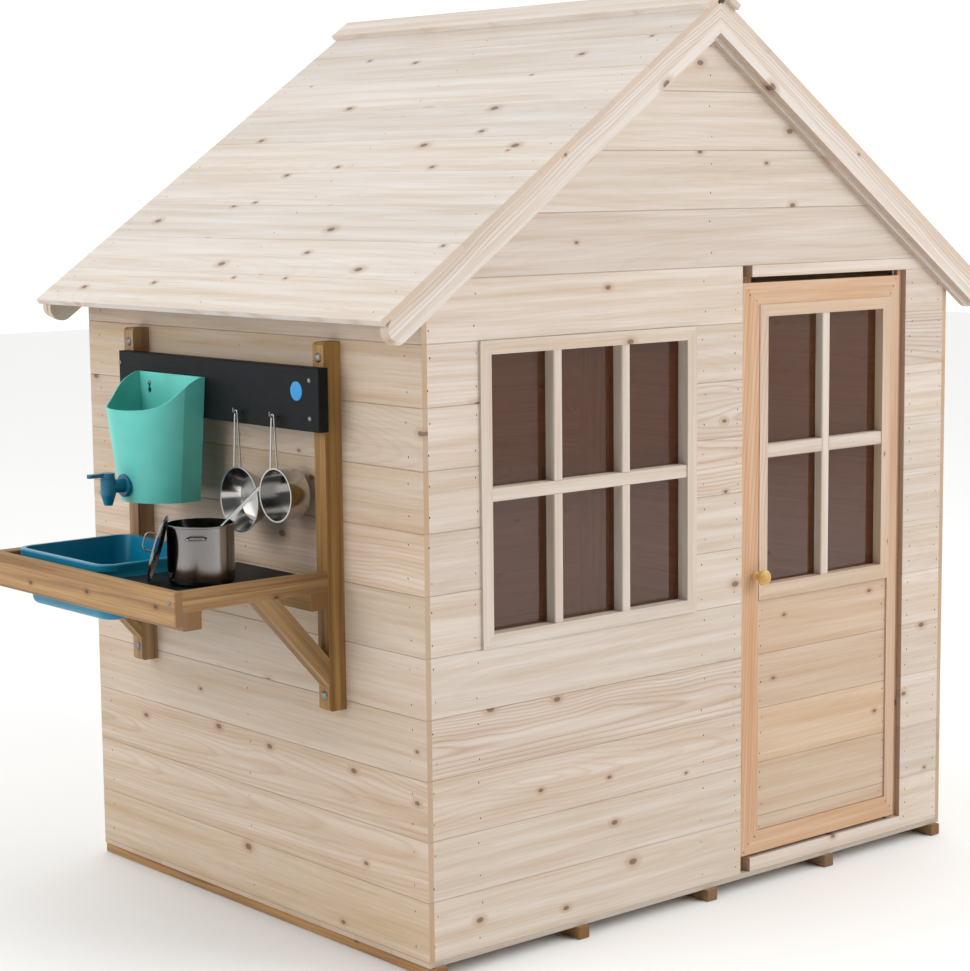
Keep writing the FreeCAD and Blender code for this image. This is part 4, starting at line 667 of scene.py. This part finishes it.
class PLAYHOUSE_OT_nails(bpy.types.Operator):
    """Add the marks of the brads that hold the boards"""
    bl_idname = "playhouse.nails"
    bl_label = "Nail marks"

    def execute(self, context):
        s = context.scene.playhouse_boards
        f = context.scene.playhouse_fixings
        luck = random.Random(f.seed)
        # the brads' near-black colour is partly painted shade of their sunk holes
        steel = zinc_plated_steel("sunk_brad_and_painted_hole_shade", linear("2E241C"), 0.7)
        sizes = (luck, f.nail_length, f.nail_width)

        walls = nail_rows(s.wall_foot, s.cover, WALL_BOARDS)
        front_places = [Vector((x * MM, FRONT_FACE, z)) for z in walls for x in FRONT_NAILS]
        for z in nail_rows(s.wall_foot, s.cover, WALL_BOARDS, (0.2, 0.5, 0.8)):
            strip = STRIP_NAILS if z < STRIP_NAILS_TOP else ()
            front_places += [Vector((x * MM, FRONT_FACE, z)) for x in (*strip, CORNER_NAILS)]
        back_places = [Vector((x * MM, -FRONT_FACE, z)) for z in walls for x in BACK_NAILS]
        for z in nail_rows(s.wall_top, s.cover, GABLE_BOARDS):
            half = (s.ridge - z) / math.tan(s.pitch) - GABLE_NAILS_IN
            for x in (-half, 0.0, half):
                if half > 20 * MM or x == 0.0:
                    front_places.append(Vector((x, FRONT_FACE, z)))
                    back_places.append(Vector((x, -FRONT_FACE, z)))
        low = [z for z in walls if z < SIDE_NAILS_TOP]
        left_places = [Vector((-SIDE_FACE, y * MM, z)) for z in low for y in LEFT_NAILS]
        right_places = [Vector((SIDE_FACE, y * MM, z)) for z in low for y in RIGHT_NAILS]
        nail_marks("nail_marks_front", front_places, -Y, Z, "house", steel, *sizes)
        nail_marks("nail_marks_back", back_places, Y, Z, "house", steel, *sizes)
        nail_marks("nail_marks_left", left_places, -X, Z, "house", steel, *sizes)
        nail_marks("nail_marks_right", right_places, X, Z, "house", steel, *sizes)

        for hand, name in ((-1, "left"), (1, "right")):
            down = Vector((hand * math.cos(s.pitch), 0, -math.sin(s.pitch)))
            off = Vector((hand * math.sin(s.pitch), 0, math.cos(s.pitch)))
            top = Vector((0, 0, s.ridge)) + off * BOARD + down * RIDGE_GAP
            # the ridge cap hides the first row
            places = [top + down * (s.roof_cover * (i + share)) + Y * y * MM
                      for i in range(ROOF_BOARDS) for share in (0.25, 0.77) for y in ROOF_NAILS
                      if i + share > 0.6]
            nail_marks("nail_marks_roof_" + name, places, off, down, "house", steel, *sizes)

        heights = nail_rows(DOOR_BOARDS_START, s.cover, 5, (0.17, 0.5, 0.83))
        door_places = [Vector((x * MM, DOOR_BOARDS_FACE, z)) for z in heights
                       if z > DOOR_NAILS_LOW for x in DOOR_NAILS]
        nail_marks("nail_marks_door", door_places, -Y, Z, "door", steel, *sizes)
        left, right, low, high = DOOR
        left_stile, right_stile, low_rail, high_rail = DOOR_MEMBERS
        corners = ((left, low, left + left_stile, low + low_rail),
                   (right, low, right - right_stile, low + low_rail),
                   (left, high, left + left_stile, high - high_rail),
                   (right, high, right - right_stile, high - high_rail))
        mitre_places = [Vector((x0 + (x1 - x0) * t, DOOR_FACE, z0 + (z1 - z0) * t))
                        for x0, z0, x1, z1 in corners for t in (0.25, 0.5, 0.75)]
        nail_marks("nail_marks_door_mitres", mitre_places, -Y, Z, "door", steel, *sizes)
        return {"FINISHED"}


class PLAYHOUSE_OT_kitchen_timber(bpy.types.Operator):
    """Finish the mud kitchen's posts, braces, rails and the house's bearers"""
    bl_idname = "playhouse.kitchen_timber"
    bl_label = "Kitchen timber"

    def execute(self, context):
        s = context.scene.playhouse_boards
        strut = Vector((-math.cos(BRACE_TILT), 0, math.sin(BRACE_TILT)))
        square = Vector((math.sin(BRACE_TILT), 0, math.cos(BRACE_TILT)))
        rows = [("kitchen_post_front", Lay(Z, Y), 81), ("kitchen_post_back", Lay(Z, Y), 82),
                ("tray_lip", Lay(Y, Z), 83), ("tray_side_rails", Lay(X, Z), 84),
                ("tray_front_rail", Lay(Y, X), 85), ("tray_rear_rail", Lay(Y, X), 86),
                ("tray_braces", Lay(strut, square), 87)]
        rows += [("floor_bearer_%d" % i, Lay(Y, Z), 90 + i) for i in range(1, 6)]
        for name, lay, seed in rows:
            mat = planed_softwood("treated_pine_" + name, s.treated_pale, s.treated_deep,
                                  linear("6B4A2A"), linear("3B2818"), lay, seed, streak=1.2,
                                  spread=0.16, knots=0.35, rough=0.68)
            finish_node(name, mat)
        return {"FINISHED"}


class PLAYHOUSE_OT_black_boards(bpy.types.Operator):
    """Paint the back board and the hob, and add the plain round badge"""
    bl_idname = "playhouse.black_boards"
    bl_label = "Back board and hob"

    def execute(self, context):
        s = context.scene.playhouse_kitchen
        paint = painted_board("black_painted_pine", s.board)
        finish_node("kitchen_back_board", paint)
        finish_node("hob_panel", paint)
        bm = bmesh.new()
        lens(bm, BADGE_CENTRE, -X, Z, BADGE_RADIUS, BADGE_RADIUS, BADGE_THICK, 48)
        vinyl = moulded_polypropylene("gloss_vinyl_badge", s.badge, 0.3, 1.5)
        piece("round_badge", bm, "house", vinyl)
        return {"FINISHED"}


class PLAYHOUSE_OT_wet_ware(bpy.types.Operator):
    """Give the basin, the water tank, the tap and its lever their moulded plastic"""
    bl_idname = "playhouse.wet_ware"
    bl_label = "Basin and tank"

    def execute(self, context):
        s = context.scene.playhouse_kitchen
        finish_node("wash_basin", moulded_polypropylene("moulded_basin", s.basin, 0.32, 1.2))
        finish_node("water_dispenser", moulded_polypropylene("moulded_tank", s.tank, 0.42, 0.9))
        tap = moulded_polypropylene("moulded_tap", s.tap, 0.3, 0.9)
        finish_node("tap_body", tap)
        finish_node("tap_lever", tap)
        return {"FINISHED"}


class PLAYHOUSE_OT_steel_ware(bpy.types.Operator):
    """Polish the pot, lid, ladle and pans"""
    bl_idname = "playhouse.steel_ware"
    bl_label = "Steel ware"

    def execute(self, context):
        # the pot and its lid are the same steel as the ladle and pans; their darker colour is painted
        # shade, the dark side of the studio mirrored in them
        rows = [("cooking_pot", POT_CENTRE, Z, 0.17, "8A8785"),
                ("pot_lid", POT_CENTRE, Z, 0.15, "8A8785"),
                ("ladle", POT_CENTRE, Z, 0.2, "C4C2BF"),
                ("frying_pan", FRYING_PAN_CENTRE, X, 0.16, "C4C2BF"),
                ("saucepan", SAUCEPAN_CENTRE, X, 0.16, "CFCDCA")]
        for name, centre, axis, rough, shade in rows:
            finish_node(name, spun_steel("spun_steel_" + name, centre, axis, rough, shade))
        return {"FINISHED"}


class PLAYHOUSE_OT_fixings(bpy.types.Operator):
    """Plate the bolts, screws, hooks and door pins"""
    bl_idname = "playhouse.fixings"
    bl_label = "Fixings"

    def execute(self, context):
        zinc = zinc_plated_steel("bright_zinc_plate", linear("8E8F8F"), 0.38)
        for name in ("coach_bolts", "kitchen_screws", "pan_hooks", "door_pivot_pins"):
            finish_node(name, zinc)
        return {"FINISHED"}


class PLAYHOUSE_OT_stage(bpy.types.Operator):
    """Set the pale floor, the softboxes and the camera"""
    bl_idname = "playhouse.stage"
    bl_label = "Stage"

    def execute(self, context):
        s = context.scene.playhouse_stage
        scene = context.scene
        mesh = bpy.data.meshes.new("studio_floor")
        corners = [(x * FLOOR_REACH, y * FLOOR_REACH, 0)
                   for x, y in ((-1, -1), (1, -1), (1, 1), (-1, 1))]
        mesh.from_pydata(corners, [], [(0, 1, 2, 3)])
        floor = bpy.data.objects.new("studio_floor", mesh)
        scene.collection.objects.link(floor)
        floor.location.z = -FLOOR_DROP
        mat, tree, surface = material("matt_studio_floor", Roughness=0.9)
        place = node(tree, "TexCoord").outputs["Object"]
        mottle = node(tree, "TexNoise", {"Vector": place, "Scale": 3.0, "Detail": 2.0})
        shade = tuple(s.floor)
        darker = tuple(c * 0.985 for c in shade[:3]) + (1.0,)
        base = node(tree, "Mix", {0: mottle.outputs[0], 6: shade, 7: darker}, data_type="RGBA")
        tree.links.new(base.outputs[2], surface.inputs["Base Color"])
        mesh.materials.append(mat)

        world = bpy.data.worlds.new("white_surround")
        world.use_nodes = True
        back = world.node_tree.nodes["Background"]
        back.inputs["Strength"].default_value = s.sky
        # the studio's open side, behind the viewer, is dim
        around = world.node_tree
        towards = node(around, "TexCoord").outputs["Generated"]
        facing = node(around, "VectorMath", [towards, OPEN_SIDE], operation="DOT_PRODUCT")
        dim = node(around, "MapRange", {0: facing.outputs["Value"], 1: 0.5, 2: 0.85, 3: 1.0, 4: 0.1},
                   interpolation_type="SMOOTHSTEP")
        shade = node(around, "CombineXYZ", [dim, dim, dim])
        around.links.new(shade.outputs[0], back.inputs["Color"])
        scene.world = world
        scene.view_settings.view_transform = "Standard"

        for name, spot, power in (("key_softbox", KEY_SPOT, s.key),
                                  ("fill_softbox", FILL_SPOT, s.fill)):
            lamp = bpy.data.lights.new(name, "AREA")
            lamp.shape = "SQUARE"
            lamp.size = SOFTBOX_SIDE
            lamp.energy = power
            obj = bpy.data.objects.new(name, lamp)
            scene.collection.objects.link(obj)
            obj.location = spot
            aim = LIT_POINT - Vector(spot)
            obj.rotation_euler = aim.to_track_quat("-Z", "Y").to_euler()

        behind = Vector((math.sin(CAMERA_TURN) * math.cos(CAMERA_LIFT),
                         -math.cos(CAMERA_TURN) * math.cos(CAMERA_LIFT), math.sin(CAMERA_LIFT)))
        right = Vector((math.cos(CAMERA_TURN), math.sin(CAMERA_TURN), 0))
        up = behind.cross(right)
        right_rolled = right * math.cos(CAMERA_ROLL) + up * math.sin(CAMERA_ROLL)
        up_rolled = up * math.cos(CAMERA_ROLL) - right * math.sin(CAMERA_ROLL)
        data = bpy.data.cameras.new("camera")
        data.lens = CAMERA_LENS
        data.sensor_width = CAMERA_SENSOR
        camera = bpy.data.objects.new("camera", data)
        scene.collection.objects.link(camera)
        axes = Matrix((right_rolled, up_rolled, behind)).transposed().to_4x4()
        camera.matrix_world = Matrix.Translation(CAMERA_SPOT) @ axes
        scene.camera = camera
        return {"FINISHED"}


class PLAYHOUSE_PT_panel(bpy.types.Panel):
    """Lists the steps that finish the playhouse"""
    bl_idname = "PLAYHOUSE_PT_panel"
    bl_label = "Playhouse"
    bl_space_type = "VIEW_3D"
    bl_region_type = "UI"
    bl_category = "Playhouse"

    def draw(self, context):
        for group in GROUPS:
            settings = getattr(context.scene, group)
            box = self.layout.box()
            for name in settings.bl_rna.properties.keys():
                if name not in ("rna_type", "name"):
                    box.prop(settings, name)
        for step in STEPS:
            self.layout.operator(step.bl_idname)


GROUPS = {"playhouse_boards": PlayhouseBoards, "playhouse_kitchen": PlayhouseKitchen,
          "playhouse_fixings": PlayhouseFixings, "playhouse_stage": PlayhouseStage}
STEPS = (PLAYHOUSE_OT_walls, PLAYHOUSE_OT_roof, PLAYHOUSE_OT_joinery, PLAYHOUSE_OT_door,
         PLAYHOUSE_OT_glazing, PLAYHOUSE_OT_nails, PLAYHOUSE_OT_kitchen_timber,
         PLAYHOUSE_OT_black_boards, PLAYHOUSE_OT_wet_ware, PLAYHOUSE_OT_steel_ware,
         PLAYHOUSE_OT_fixings, PLAYHOUSE_OT_stage)


def register():
    """Adds the settings, the steps and the panel to Blender."""
    for cls in (*GROUPS.values(), *STEPS, PLAYHOUSE_PT_panel):
        bpy.utils.register_class(cls)
    for name, cls in GROUPS.items():
        setattr(bpy.types.Scene, name, bpy.props.PointerProperty(type=cls))


def unregister():
    """Takes them out again."""
    for name in GROUPS:
        delattr(bpy.types.Scene, name)
    for cls in reversed((*GROUPS.values(), *STEPS, PLAYHOUSE_PT_panel)):
        bpy.utils.unregister_class(cls)


def main():
    """Runs every step in order."""
    register()
    for step in STEPS:
        family, name = step.bl_idname.split(".")
        getattr(getattr(bpy.ops, family), name)()


if __name__ == "__main__":
    main()
